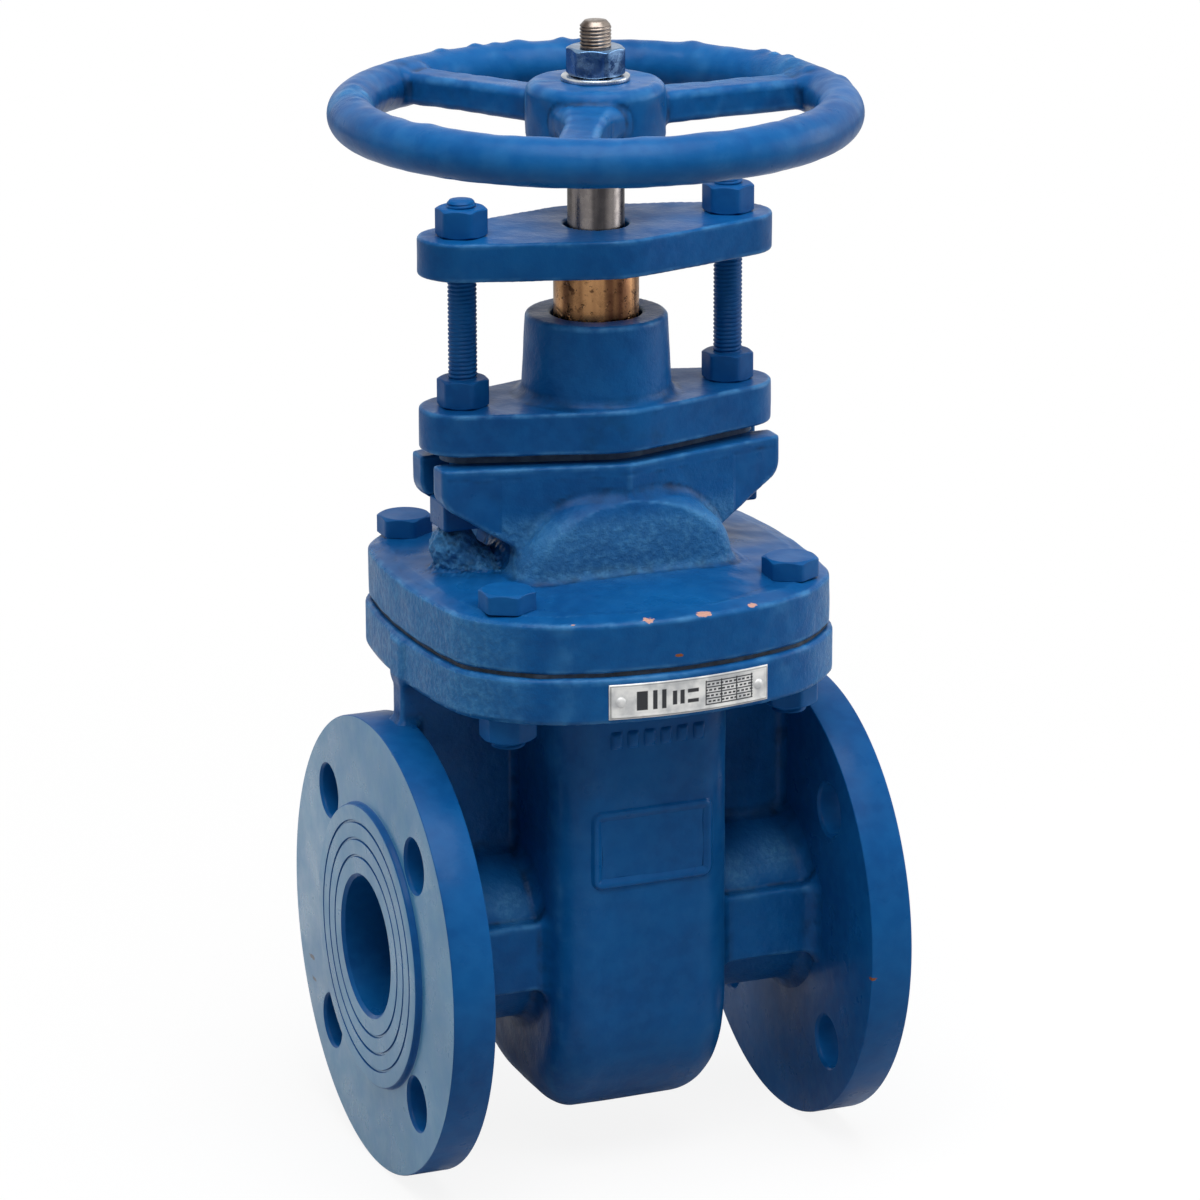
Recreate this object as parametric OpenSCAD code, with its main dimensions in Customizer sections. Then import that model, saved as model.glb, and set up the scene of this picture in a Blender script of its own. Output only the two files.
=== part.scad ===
// Flanged gate valve, DN 50, flat cast-iron body, inside-screw stem that does not rise.
// Millimetres. The origin is the centre of the inlet flange's raised face. +X runs along the
// pipe to the outlet, +Z runs up the stem, and -Y is the front, where the rating plate is.

/* [Pipe ends] */
// Length between the two raised faces
face_to_face = 178; // [170:1:220]
// Bore through the valve
bore_d = 50; // [44:1:52]
// Outer diameter of a pipe flange
pipe_flange_d = 165; // [156:1:185]
// Thickness of a pipe flange with its raised face
pipe_flange_t = 18; // [14:0.5:24]
// Diameter of the raised face
raised_face_d = 102; // [96:1:104]
// Height of the raised face
raised_face_h = 2.5; // [1.5:0.5:4]
// Pitch circle of the pipe bolt holes
pipe_pcd = 125; // [124:0.5:132]
// Diameter of a pipe bolt hole
pipe_hole_d = 19; // [14:0.5:20]
// Outer diameter of the neck between a pipe flange and the chamber
neck_d = 64; // [60:1:72]

/* [Body] */
// Width of the chamber along the pipe
chamber_w = 68; // [64:1:76]
// Depth of the chamber from front to back
chamber_depth = 98; // [94:1:104]
// Lowest point of the chamber, below the pipe axis
chamber_drop = 68; // [64:1:74]
// Wall thickness of the chamber's front and back
chamber_wall = 8; // [6:0.5:10]
// Thickness of the web between a neck and the body flange
web_t = 9; // [7:0.5:14]
// Height of the body flange's joint face above the pipe axis
joint_z = 114.5; // [112:0.5:124]
// Thickness of the body flange
body_flange_t = 16.5; // [13:0.5:20]

/* [Oval flanges] */
// Width of the body and bonnet flanges along the pipe
oval_w = 151; // [148:1:156]
// Depth of the body and bonnet flanges from front to back
oval_depth = 159; // [156:1:164]
// Diameter across the rounded corners of these flanges
oval_corner_d = 171; // [168:1:176]
// Spacing of the bonnet bolts along the pipe
bonnet_bolt_x = 106; // [101:0.5:106]
// Spacing of the bonnet bolts from front to back
bonnet_bolt_y = 102; // [99:0.5:102]
// Offset of the bonnet bolts towards the back
bonnet_bolt_shift = 2; // [0:0.5:2]
// Thickness of the gasket between body and bonnet
joint_gasket_t = 1.5; // [1:0.25:3]

/* [Bonnet] */
// Thickness of the bonnet flange
bonnet_flange_t = 19; // [15:0.5:21]
// Height of the lug slab's top face above the bonnet's joint face
slab_rise = 60; // [58:0.5:68]
// Length of the lug slab along the pipe
slab_w = 128; // [124:1:132]
// Depth of the lug slab at its middle
slab_depth = 62; // [58:1:66]
// Depth of the lug slab at its ends
slab_end_depth = 31; // [30:0.5:36]
// Height of the lug slab's end faces
slab_end_h = 13; // [12:0.5:14]
// Width of the open slots for the gland studs
slot_w = 11.8; // [11.5:0.1:13]

/* [Gland] */
// Spacing of the two gland studs
stud_spacing = 100; // [96:1:104]
// Diameter of a gland stud
stud_d = 10.2; // [9.5:0.1:10.8]
// Thickness of the stuffing box flange
box_flange_t = 15; // [12:0.5:18]
// Thickness of the gasket under the stuffing box
box_gasket_t = 3.8; // [2:0.2:5]
// Height of the stuffing box boss above its flange
box_boss_h = 29; // [26:0.5:36]
// Diameter of the stuffing box boss at its top
box_boss_d = 50; // [46:0.5:54]
// Thickness of the gland plate
gland_plate_t = 13.5; // [11:0.5:18]
// Clear height between the boss and the gland plate
gland_gap = 18; // [12:0.5:24]
// Half width of both gland flanges at their middle
gland_mid_r = 30; // [28:0.5:32]
// Rounding radius of both gland flanges at their ends
gland_end_r = 15.5; // [14:0.5:18]
// Outer diameter of the bronze gland bush
bush_d = 30; // [28:0.25:31]

/* [Stem and handwheel] */
// Diameter of the stem
stem_d = 20; // [18:0.25:20.5]
// Gap between the gland plate and the handwheel hub
hub_gap = 28.5; // [22:0.5:36]
// Outer diameter of the handwheel
wheel_d = 186; // [170:1:220]
// Thickness of the handwheel rim
rim_d = 16.8; // [14:0.2:20]
// Diameter of the handwheel hub
hub_d = 49; // [44:1:54]
// Height of the handwheel hub
hub_h = 22; // [18:0.5:26]
// Number of spokes
spoke_count = 3; // [3:1:5]
// Turn of the first spoke from the pipe direction
spoke_turn = 3; // [0:1:60]

/* [Gate] */
// Outer diameter of a seat ring
seat_d = 62; // [60:0.5:64]
// Thickness of the gate at the pipe axis when shut
gate_t = 30; // [26:0.5:32]
// Taper of each gate face
gate_taper = 5; // [3:0.5:6]
// Lift of the gate when fully open
gate_lift = 59; // [59:0.5:60]

/* [Hidden] */

$fn = 96;
cut = 1;                     // how far a cut runs past a face

enamel = "#1d5fa8";
steel = "#8d8a86";
zinc = "#b9b7b0";
bronze = "#a5763f";
gasket_grey = "#2b2f35";
plate_metal = "#c9c9c6";

// Heights along the stem, all above the pipe axis
body_flange_z = joint_z - body_flange_t;
bonnet_z = joint_z + joint_gasket_t;
bonnet_flange_top = bonnet_z + bonnet_flange_t;
slab_top = bonnet_z + slab_rise;
box_z = slab_top + box_gasket_t;
box_flange_top = box_z + box_flange_t;
boss_top = box_flange_top + box_boss_h;
gland_plate_z = boss_top + gland_gap;
gland_plate_top = gland_plate_z + gland_plate_t;
hub_z = gland_plate_top + hub_gap;
hub_top = hub_z + hub_h;
wheel_z = hub_z + hub_h / 2;

// Pipe ends
pipe_flange_r = pipe_flange_d / 2;
pipe_hole_count = 4;
bore_edge = 1.2;             // chamfer at the mouth of the bore
groove_count = 3;            // gasket grooves turned in each raised face
groove_first_r = 32;
groove_pitch = 6.2;
groove_w = 0.9;
groove_depth = 0.6;

// Chamber
chamber_corner = 14;         // upright corners
chamber_floor_flat = 20;     // flat left in the middle of the chamber's underside, seen from the front
chamber_floor_r = (chamber_w - chamber_floor_flat) / 2;    // its rounding, seen from the front
bowl_flat = 2;               // flat left in the middle of the underside, seen from the side
bowl_r = (chamber_depth - bowl_flat) / 2;                  // its rounding, seen from the side
neck_fillet = 6;             // where a neck meets its flange and the chamber
hollow_bowl_z = chamber_depth / 2 - chamber_drop;
bowl_z = bowl_r - chamber_drop;
bowl_shift = chamber_depth / 2 - bowl_r;
chamber_side_wall = 10;
cavity_w = chamber_w - 2 * chamber_side_wall;
cavity_depth = chamber_depth - 2 * chamber_wall;
guide_w = 6;                 // the ribs that guide the gate
guide_reach = 31;
guide_clear = 1;             // between those ribs and the gate's grooves
foot_boss_d = 14;
foot_boss_h = 2;
frame_w = 47;                // raised frame on the chamber's front
frame_h = 29.5;
frame_z = 27.5;
frame_rib = 4;
frame_shift = 1;             // to the right of the middle
frame_proud = 1.2;
web_reach = 0.5;             // how far the web stands out past the end of the body flange

// Oval flanges
bonnet_step = 1.2;           // the bonnet flange stands back from the body flange by this
bonnet_edge_h = 1.5;         // height and width of the step that stands for its rounded top edge
bonnet_edge_w = 2.5;
oval_side_r = 250;
oval_front_r = 130;
gasket_inset = 2.5;
joint_bolt_d = 12;
joint_hole_d = 14;
joint_head_af = 18;
joint_head_h = 7;
joint_nut_h = 9.5;
joint_bolt_tail = 2.5;

// Bonnet
dome_w = 82;
dome_half_depth = 38;
dome_corner = 14;
dome_arch_r = 45;
dome_arch_drop = 8;          // from the slab's top face to the crown of the arch
dome_round_drop = 24;        // from that crown down to the centre of the side view's round
crown_h = 3;                 // rise of the bonnet flange's top face towards the dome
crown_foot_r = 71;
crown_top_r = 42;
bolt_seat_d = 23;            // flat under each bolt head
slab_slope = 32;             // slope of the slab's underside
slab_foot = 34;              // half width where that slope ends, inside the dome
slot_seat_drop = 14;         // thickness of the lugs over the stud heads
stud_head_w = 15;
stud_head_l = 20.5;
stud_head_h = 10.5;
head_clear = 0.3;
bonnet_cavity_w = 50;
bonnet_cavity_depth = 54;
bonnet_cavity_h = 30;
collar_d = 30;
collar_h = 6;
collar_clear = 0.3;

// Gland
stud_hole_play = 0.8;        // round a stud in its hole
stud_hole_d = stud_d + 2 * stud_hole_play;
flank_inset = 0.05;          // the straight flanks lie this far inside the round ends' tangents
gland_nut_af = 16.5;
gland_nut_h = 10;
stud_tail = 2.5;
boss_flare = 3;
boss_fillet = 3.5;
box_gasket_inset = 7;
packing_d = 32;
packing_h = 20;
packing_floor = 4;
packing_clear = 0.1;
box_mouth = 2;               // chamfer at the mouth of the stuffing box
mouth_depth = 1;
bush_clear = 0.05;
stem_hole_play = 1.5;        // round the stem in the gland plate's hole
stem_hole_d = stem_d + 2 * stem_hole_play;
stem_hole_clear = 1;

// Stem and wheel
wheel_square = 14;
wheel_thread_d = 11;
washer_d = 24;
washer_t = 1.8;
wheel_nut_af = 18.5;
wheel_nut_h = 10;
stem_tip = 9;
wheel_ring_r = (wheel_d - rim_d) / 2;
spoke_w = 14;
spoke_h = 11.5;
hub_edge = 3;
thread_d = 17.6;
thread_clear = 0.08;

// Gate
gate_d = 66;
seat_socket = 8;             // depth that a seat ring is pressed into the body
seat_depth = 14;             // height that it stands above the chamber's wall
seat_clear = 0.3;
gate_boss_w = 32;
gate_boss_top = 44;
gate_pocket_d = 20;
gate_pocket_floor = -31;
gate_nut_w = 24;
gate_nut_h = 12;
gate_nut_drop = 3;
fit_clear = 0.1;
stem_end_gap = 3;            // from the stem's end to the floor of the gate's pocket
stem_end = gate_lift + gate_pocket_floor + stem_end_gap;

// Rating plate
plate_w = 59.5;
plate_shift = 3;             // to the right of the middle
plate_h = 12.5;
plate_t = 0.8;

rivet_d = 3;
rivet_inset = 4;
rivet_h = 0.8;
plate_lift = 1.8;            // from the body flange's lower edge to the plate's

// Places every piece that stands on the stem axis
module on_stem() {
    translate([face_to_face / 2, 0, 0]) children();
}

// A cylinder along X
module bar_x(d, length) {
    rotate([0, 90, 0]) cylinder(d = d, h = length);
}

// A rectangle with rounded corners, centred
module round_rect(w, depth, r) {
    union() {
        square([w - 2 * r, depth], center = true);
        square([w, depth - 2 * r], center = true);
        for (sx = [-1, 1])
            for (sy = [-1, 1])
                translate([sx * (w / 2 - r), sy * (depth / 2 - r)]) circle(r);
    }
}

// Outline that the body flange and the bonnet flange share
module oval_outline(inset = 0) {
    side = oval_side_r - oval_w / 2;
    front = oval_front_r - oval_depth / 2;
    intersection() {
        circle(d = oval_corner_d - 2 * inset);
        translate([side, 0]) circle(oval_side_r - inset);
        translate([-side, 0]) circle(oval_side_r - inset);
        translate([0, front]) circle(oval_front_r - inset);
        translate([0, -front]) circle(oval_front_r - inset);
    }
}

// Plate with the outline of the gland plate and of the stuffing box flange
module gland_form(h, inset = 0) {
    mid = gland_mid_r - inset;
    tip = gland_end_r - inset;
    reach = stud_spacing / 2;
    lean = asin((mid - tip) / reach);
    near = (mid - flank_inset) * [sin(lean), cos(lean)];
    far = [reach, 0] + (tip - flank_inset) * [sin(lean), cos(lean)];
    union() {
        cylinder(r = mid, h = h);
        for (s = [-1, 1]) translate([s * reach, 0, 0]) cylinder(r = tip, h = h);
        linear_extrude(h) polygon([
            [near[0], near[1]], [far[0], far[1]], [far[0], -far[1]], [near[0], -near[1]],
            [-near[0], -near[1]], [-far[0], -far[1]], [-far[0], far[1]], [-near[0], near[1]]
        ]);
    }
}

// Ring of fillet round a cylinder of radius r, in the corner with the plane z = 0 below it
module root_fillet(r, size) {
    rotate_extrude() difference() {
        translate([r - flank_inset, -flank_inset]) square(size);
        translate([r + size - flank_inset, size - flank_inset]) circle(size);
    }
}

// A hexagon prism, with its corners turned along Y
module hex(af, h) {
    rotate(30) cylinder(d = af / cos(30), h = h, $fn = 6);
}

// The four bonnet bolt places
module at_joint_bolt(sx, sy) {
    on_stem() translate([sx * bonnet_bolt_x / 2, sy * bonnet_bolt_y / 2 + bonnet_bolt_shift, 0])
        children();
}

module joint_bolt_holes(z, h) {
    for (sx = [-1, 1])
        for (sy = [-1, 1])
            translate([sx * bonnet_bolt_x / 2, sy * bonnet_bolt_y / 2 + bonnet_bolt_shift, z - cut])
                cylinder(d = joint_hole_d, h = h + 2 * cut);
}

// One pipe flange, its raised face on the plane x = 0 and its body towards +X
module pipe_flange() {
    difference() {
        union() {
            bar_x(raised_face_d, pipe_flange_t);
            translate([raised_face_h, 0, 0]) bar_x(pipe_flange_d, pipe_flange_t - raised_face_h);
        }
        for (i = [0 : pipe_hole_count - 1])
            rotate([(i + 0.5) * 360 / pipe_hole_count, 0, 0])
                translate([-cut, 0, pipe_pcd / 2]) bar_x(pipe_hole_d, pipe_flange_t + 2 * cut);
        for (i = [0 : groove_count - 1])
            translate([-cut, 0, 0]) difference() {
                bar_x(2 * (groove_first_r + i * groove_pitch) + groove_w, cut + groove_depth);
                bar_x(2 * (groove_first_r + i * groove_pitch) - groove_w, cut + groove_depth);
            }
    }
}

// Lower half of a section through the bowl, from its middle out to the radius
module bowl_section(r) {
    intersection() {
        translate([-r - cut, -chamber_w / 2]) square([r + cut, chamber_w]);
        round_rect(2 * r, chamber_w, chamber_corner);
    }
}

// The chamber's outer form: a flat box with a bowl for its floor
module chamber_form() {
    intersection() {
        union() {
            translate([0, 0, bowl_z])
                linear_extrude(body_flange_z - bowl_z)
                    round_rect(chamber_w, chamber_depth, chamber_corner);
            for (s = [-1, 1])
                translate([0, s * bowl_shift, bowl_z]) rotate([0, 90, 0]) rotate_extrude()
                    mirror([1, 0]) bowl_section(bowl_r);
            translate([0, bowl_shift, bowl_z]) rotate([90, 0, 0])
                linear_extrude(2 * bowl_shift) rotate(90) bowl_section(bowl_r);
        }
        rotate([90, 0, 0]) linear_extrude(chamber_depth + 2 * cut, center = true)
            translate([0, -chamber_drop + chamber_depth])
                round_rect(chamber_w, 2 * chamber_depth, chamber_floor_r);
    }
}

// The chamber's hollow, up through the body flange
module chamber_hollow() {
    translate([0, 0, hollow_bowl_z]) linear_extrude(joint_z - hollow_bowl_z + cut)
        square([cavity_w, cavity_depth], center = true);
    translate([-cavity_w / 2, 0, hollow_bowl_z]) bar_x(cavity_depth, cavity_w);
}

module valve_body() {
    half = face_to_face / 2;
    color(enamel) on_stem() difference() {
        union() {
            translate([-half, 0, 0]) pipe_flange();
            translate([half, 0, 0]) mirror([1, 0, 0]) pipe_flange();
            translate([cut - half + raised_face_h, 0, 0])
                bar_x(neck_d, face_to_face - 2 * raised_face_h - 2 * cut);
            for (s = [-1, 1]) mirror([s > 0 ? 1 : 0, 0, 0]) {
                translate([-half + pipe_flange_t, 0, 0]) rotate([0, 90, 0])
                    root_fillet(neck_d / 2, neck_fillet);
                translate([-chamber_w / 2, 0, 0]) rotate([0, -90, 0])
                    root_fillet(neck_d / 2, neck_fillet);
            }
            chamber_form();
            translate([0, 0, body_flange_z]) linear_extrude(body_flange_t) oval_outline();
            translate([-oval_w / 2 - web_reach, -web_t / 2, 0])
                cube([oval_w + 2 * web_reach, web_t, body_flange_z + cut]);
            translate([0, 0, -chamber_drop - foot_boss_h])
                cylinder(d = foot_boss_d, h = foot_boss_h + chamber_wall);
            front_frame();
        }
        difference() {
            chamber_hollow();
            for (s = [-1, 1])
                translate([-guide_w / 2, s > 0 ? guide_reach : -cavity_depth / 2 - cut,
                           hollow_bowl_z])
                    cube([guide_w, cavity_depth / 2 + cut - guide_reach, body_flange_z - hollow_bowl_z]);
        }
        translate([-half - cut, 0, 0]) bar_x(bore_d, face_to_face + 2 * cut);
        for (s = [-1, 1]) mirror([s > 0 ? 1 : 0, 0, 0]) {
            translate([-half - cut, 0, 0]) rotate([0, 90, 0])
                cylinder(d1 = bore_d + 2 * (bore_edge + cut), d2 = bore_d, h = bore_edge + cut);
            translate([-cavity_w / 2 - seat_socket, 0, 0]) bar_x(seat_d, seat_socket + cut);
        }
        joint_bolt_holes(body_flange_z, body_flange_t);
    }
}

// Raised rectangular frame cast on the chamber's front
module front_frame() {
    translate([frame_shift, -chamber_depth / 2, frame_z + frame_h / 2]) rotate([90, 0, 0]) difference() {
        translate([0, 0, -2 * cut]) linear_extrude(frame_proud + 2 * cut)
            square([frame_w, frame_h], center = true);
        translate([0, 0, -3 * cut]) linear_extrude(frame_proud + 5 * cut)
            square([frame_w - 2 * frame_rib, frame_h - 2 * frame_rib], center = true);
    }
}

// The space that the gate fills when shut, grown by a clearance on both faces
module gate_taper_form(clear, height) {
    top = gate_t / 2 + clear + height * tan(gate_taper);
    bottom = gate_t / 2 + clear - height * tan(gate_taper);
    rotate([90, 0, 0]) linear_extrude(2 * height, center = true)
        polygon([[-bottom, -height], [bottom, -height], [top, height], [-top, height]]);
}

module seat_ring(side) {
    color(bronze) on_stem() mirror([side > 0 ? 1 : 0, 0, 0]) difference() {
        translate([-cavity_w / 2 - seat_socket, 0, 0]) bar_x(seat_d, seat_socket + seat_depth);
        translate([-cavity_w / 2 - seat_socket - cut, 0, 0])
            bar_x(bore_d, seat_socket + seat_depth + 2 * cut);
        gate_taper_form(seat_clear, seat_d);
    }
}

module gate_wedge() {
    groove_w_gate = guide_w + guide_clear;
    color(enamel) on_stem() translate([0, 0, gate_lift]) difference() {
        union() {
            intersection() {
                translate([-gate_d / 2, 0, 0]) bar_x(gate_d, gate_d);
                gate_taper_form(0, gate_d);
            }
            translate([-gate_boss_w / 2, -gate_boss_w / 2, 0])
                cube([gate_boss_w, gate_boss_w, gate_boss_top]);
        }
        translate([0, 0, gate_pocket_floor]) cylinder(d = gate_pocket_d, h = gate_boss_top + gate_d);
        translate([-gate_nut_w / 2, -gate_nut_w / 2, gate_boss_top - gate_nut_drop - gate_nut_h])
            cube([gate_nut_w, gate_nut_w, gate_nut_h + gate_nut_drop + cut]);
        for (s = [-1, 1])
            translate([-groove_w_gate / 2, s > 0 ? guide_reach - guide_clear : -gate_d / 2 - cut, -gate_d])
                cube([groove_w_gate, gate_d / 2 + cut + guide_clear - guide_reach, 2 * gate_d]);
    }
}

module gate_nut() {
    side = gate_nut_w - 2 * fit_clear;
    z = gate_lift + gate_boss_top - gate_nut_drop - gate_nut_h;
    color(bronze) on_stem() translate([0, 0, z]) difference() {
        translate([-side / 2, -side / 2, 0]) cube([side, side, gate_nut_h]);
        translate([0, 0, -cut]) cylinder(d = thread_d + 2 * thread_clear, h = gate_nut_h + 2 * cut);
    }
}

module joint_gasket() {
    color(gasket_grey) on_stem() difference() {
        translate([0, 0, joint_z]) linear_extrude(joint_gasket_t) difference() {
            oval_outline(gasket_inset);
            square([bonnet_cavity_w, cavity_depth], center = true);
        }
        joint_bolt_holes(joint_z, joint_gasket_t);
    }
}

// The slab whose two ends are the slotted lugs
module lug_slab() {
    half = slab_w / 2;
    end_z = slab_top - slab_end_h;
    foot_z = end_z - (half - slab_foot) * tan(slab_slope);
    intersection() {
        rotate([90, 0, 0]) linear_extrude(2 * slab_depth, center = true) polygon([
            [-half, slab_top], [-half, end_z], [-slab_foot, foot_z],
            [slab_foot, foot_z], [half, end_z], [half, slab_top]
        ]);
        translate([0, 0, bonnet_z]) linear_extrude(2 * slab_rise) polygon([
            [-half, -slab_end_depth / 2], [0, -slab_depth / 2], [half, -slab_end_depth / 2],
            [half, slab_end_depth / 2], [0, slab_depth / 2], [-half, slab_end_depth / 2]
        ]);
    }
}

// The rounded housing between the bonnet flange and the slab
module dome() {
    arch_top = slab_top - dome_arch_drop;
    round_z = arch_top - dome_round_drop;
    intersection() {
        translate([0, 0, bonnet_z]) linear_extrude(slab_rise - dome_arch_drop)
            round_rect(dome_w, 2 * dome_half_depth, dome_corner);
        translate([0, 0, arch_top - dome_arch_r]) rotate([90, 0, 0])
            cylinder(r = dome_arch_r, h = 4 * dome_half_depth, center = true, $fn = 180);
        translate([-dome_w, 0, 0]) union() {
            translate([0, 0, round_z]) bar_x(2 * dome_half_depth, 2 * dome_w);
            translate([0, -dome_half_depth, 0])
                cube([2 * dome_w, 2 * dome_half_depth, round_z]);
        }
    }
}

// A stud head's size along the pipe and from front to back: the left one is turned lengthwise
function head_width(s) = s < 0 ? stud_head_l : stud_head_w;
function head_depth(s) = s < 0 ? stud_head_w : stud_head_l;

module bonnet() {
    seat_z = slab_top - slot_seat_drop;
    crown_z = bonnet_flange_top + crown_h;
    color(enamel) on_stem() difference() {
        union() {
            translate([0, 0, bonnet_z]) linear_extrude(bonnet_flange_t - bonnet_edge_h)
                oval_outline(bonnet_step);
            translate([0, 0, bonnet_z]) linear_extrude(bonnet_flange_t)
                oval_outline(bonnet_step + bonnet_edge_w);
            translate([0, 0, bonnet_flange_top])
                cylinder(r1 = crown_foot_r, r2 = crown_top_r, h = crown_h);
            dome();
            lug_slab();
        }
        translate([-bonnet_cavity_w / 2, -bonnet_cavity_depth / 2, bonnet_z - cut])
            cube([bonnet_cavity_w, bonnet_cavity_depth, bonnet_cavity_h + cut]);
        cylinder(d = stem_d + stem_hole_clear, h = slab_top + cut);
        translate([0, 0, slab_top - collar_h])
            cylinder(d = collar_d + stem_hole_clear, h = collar_h + cut);
        for (s = [-1, 1]) mirror([s > 0 ? 1 : 0, 0, 0]) {
            translate([-slab_w / 2 - cut, -slot_w / 2, crown_z + cut])
                cube([cut + (slab_w - stud_spacing + slot_w) / 2, slot_w, slab_rise]);
            translate([-slab_w / 2 - cut, -head_depth(s) / 2 - head_clear, crown_z + cut])
                cube([cut + (slab_w - stud_spacing + head_width(s)) / 2 + head_clear,
                      head_depth(s) + 2 * head_clear, seat_z - crown_z - cut]);
        }
        joint_bolt_holes(bonnet_z, bonnet_flange_t);
        for (sx = [-1, 1])
            for (sy = [-1, 1])
                translate([sx * bonnet_bolt_x / 2, sy * bonnet_bolt_y / 2 + bonnet_bolt_shift,
                           bonnet_flange_top])
                    cylinder(d = bolt_seat_d, h = crown_h + cut);
    }
}

module bonnet_bolt(sx, sy) {
    bottom = body_flange_z - joint_nut_h - joint_bolt_tail;
    color(enamel) at_joint_bolt(sx, sy) union() {
        translate([0, 0, bottom]) cylinder(d = joint_bolt_d, h = bonnet_flange_top - bottom + cut);
        translate([0, 0, bonnet_flange_top]) hex(joint_head_af, joint_head_h);
    }
}

module bonnet_nut(sx, sy) {
    color(enamel) at_joint_bolt(sx, sy)
        translate([0, 0, body_flange_z - joint_nut_h]) difference() {
            hex(joint_head_af, joint_nut_h);
            translate([0, 0, -cut])
                cylinder(d = joint_bolt_d + 2 * fit_clear, h = joint_nut_h + 2 * cut);
        }
}

module stuffing_box_gasket() {
    color(gasket_grey) on_stem() difference() {
        translate([0, 0, slab_top]) gland_form(box_gasket_t, box_gasket_inset);
        translate([0, 0, slab_top - cut])
            cylinder(d = collar_d + stem_hole_clear, h = box_gasket_t + 2 * cut);
        stud_holes(slab_top, box_gasket_t);
    }
}

module stud_holes(z, h) {
    for (s = [-1, 1]) translate([s * stud_spacing / 2, 0, z - cut])
        cylinder(d = stud_hole_d, h = h + 2 * cut);
}

module stuffing_box() {
    color(enamel) on_stem() difference() {
        union() {
            translate([0, 0, box_z]) gland_form(box_flange_t);
            translate([0, 0, box_flange_top])
                root_fillet((box_boss_d + boss_flare) / 2, boss_fillet);
            translate([0, 0, box_flange_top - cut])
                cylinder(d1 = box_boss_d + boss_flare, d2 = box_boss_d, h = box_boss_h + cut);
        }
        translate([0, 0, box_z - cut])
            cylinder(d = stem_d + 2 * packing_clear, h = box_flange_t);
        translate([0, 0, box_z + packing_floor])
            cylinder(d = packing_d, h = box_flange_t + box_boss_h);
        translate([0, 0, boss_top - mouth_depth])
            cylinder(d1 = packing_d, d2 = packing_d + 2 * box_mouth, h = 2 * mouth_depth);
        stud_holes(box_z, box_flange_t);
    }
}

module stem_packing() {
    color(gasket_grey) on_stem() translate([0, 0, box_z + packing_floor]) difference() {
        cylinder(d = packing_d - 2 * fit_clear, h = packing_h);
        translate([0, 0, -cut]) cylinder(d = stem_d + 2 * packing_clear, h = packing_h + 2 * cut);
    }
}

module gland_bush() {
    bottom = box_z + packing_floor + packing_h;
    color(bronze) on_stem() translate([0, 0, bottom]) difference() {
        cylinder(d = bush_d, h = gland_plate_z - bottom);
        translate([0, 0, -cut])
            cylinder(d = stem_d + 2 * bush_clear, h = gland_plate_z - bottom + 2 * cut);
    }
}

module gland_plate() {
    color(enamel) on_stem() difference() {
        translate([0, 0, gland_plate_z]) gland_form(gland_plate_t);
        translate([0, 0, gland_plate_z - cut]) cylinder(d = stem_hole_d, h = gland_plate_t + 2 * cut);
        stud_holes(gland_plate_z, gland_plate_t);
    }
}

module at_stud(s) {
    on_stem() translate([s * stud_spacing / 2, 0, 0]) children();
}

// A stud whose T head hangs under the slotted lugs
module gland_stud(s) {
    seat_z = slab_top - slot_seat_drop;
    top = gland_plate_top + gland_nut_h + stud_tail;
    color(enamel) at_stud(s) union() {
        translate([0, 0, seat_z - cut]) cylinder(d = stud_d, h = top - seat_z + cut);
        translate([-head_width(s) / 2, -head_depth(s) / 2, seat_z - stud_head_h])
            cube([head_width(s), head_depth(s), stud_head_h]);
    }
}

module stud_nut(s, z) {
    color(enamel) at_stud(s) translate([0, 0, z]) difference() {
        hex(gland_nut_af, gland_nut_h);
        translate([0, 0, -cut]) cylinder(d = stud_d + 2 * fit_clear, h = gland_nut_h + 2 * cut);
    }
}

module stem() {
    collar_z = slab_top - collar_h + collar_clear;
    nut_top = hub_top + washer_t + wheel_nut_h;
    color(steel) on_stem() union() {
        translate([0, 0, stem_end]) cylinder(d = thread_d, h = collar_z - stem_end);
        translate([0, 0, collar_z]) cylinder(d = collar_d, h = collar_h + box_gasket_t - 2 * collar_clear);
        translate([0, 0, collar_z]) cylinder(d = stem_d, h = hub_z - collar_z);
        translate([-wheel_square / 2, -wheel_square / 2, hub_z - cut])
            cube([wheel_square, wheel_square, hub_h]);
        translate([0, 0, hub_z]) cylinder(d = wheel_thread_d, h = nut_top + stem_tip - hub_z);
    }
}

module handwheel() {
    hole = wheel_square + 2 * fit_clear;
    color(enamel) on_stem() difference() {
        union() {
            translate([0, 0, wheel_z]) rotate_extrude() translate([wheel_ring_r, 0]) circle(d = rim_d);
            translate([0, 0, hub_z]) cylinder(d = hub_d, h = hub_h - hub_edge);
            translate([0, 0, hub_top - hub_edge])
                cylinder(d1 = hub_d, d2 = hub_d - 2 * hub_edge, h = hub_edge);
            for (i = [0 : spoke_count - 1])
                rotate(spoke_turn + i * 360 / spoke_count)
                    translate([hub_d / 4, 0, wheel_z]) spoke(wheel_ring_r - hub_d / 4);
        }
        translate([-hole / 2, -hole / 2, hub_z - cut]) cube([hole, hole, hub_h + 2 * cut]);
    }
}

// A spoke along X, with a flat oval section
module spoke(length) {
    arc_r = (pow(spoke_w, 2) + pow(spoke_h, 2)) / (4 * spoke_h);
    rotate([90, 0, 90]) linear_extrude(length) intersection() {
        translate([0, arc_r - spoke_h / 2]) circle(arc_r);
        translate([0, spoke_h / 2 - arc_r]) circle(arc_r);
    }
}

module handwheel_washer() {
    color(zinc) on_stem() translate([0, 0, hub_top]) difference() {
        cylinder(d = washer_d, h = washer_t);
        translate([0, 0, -cut])
            cylinder(d = wheel_thread_d + 2 * fit_clear, h = washer_t + 2 * cut);
    }
}

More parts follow.
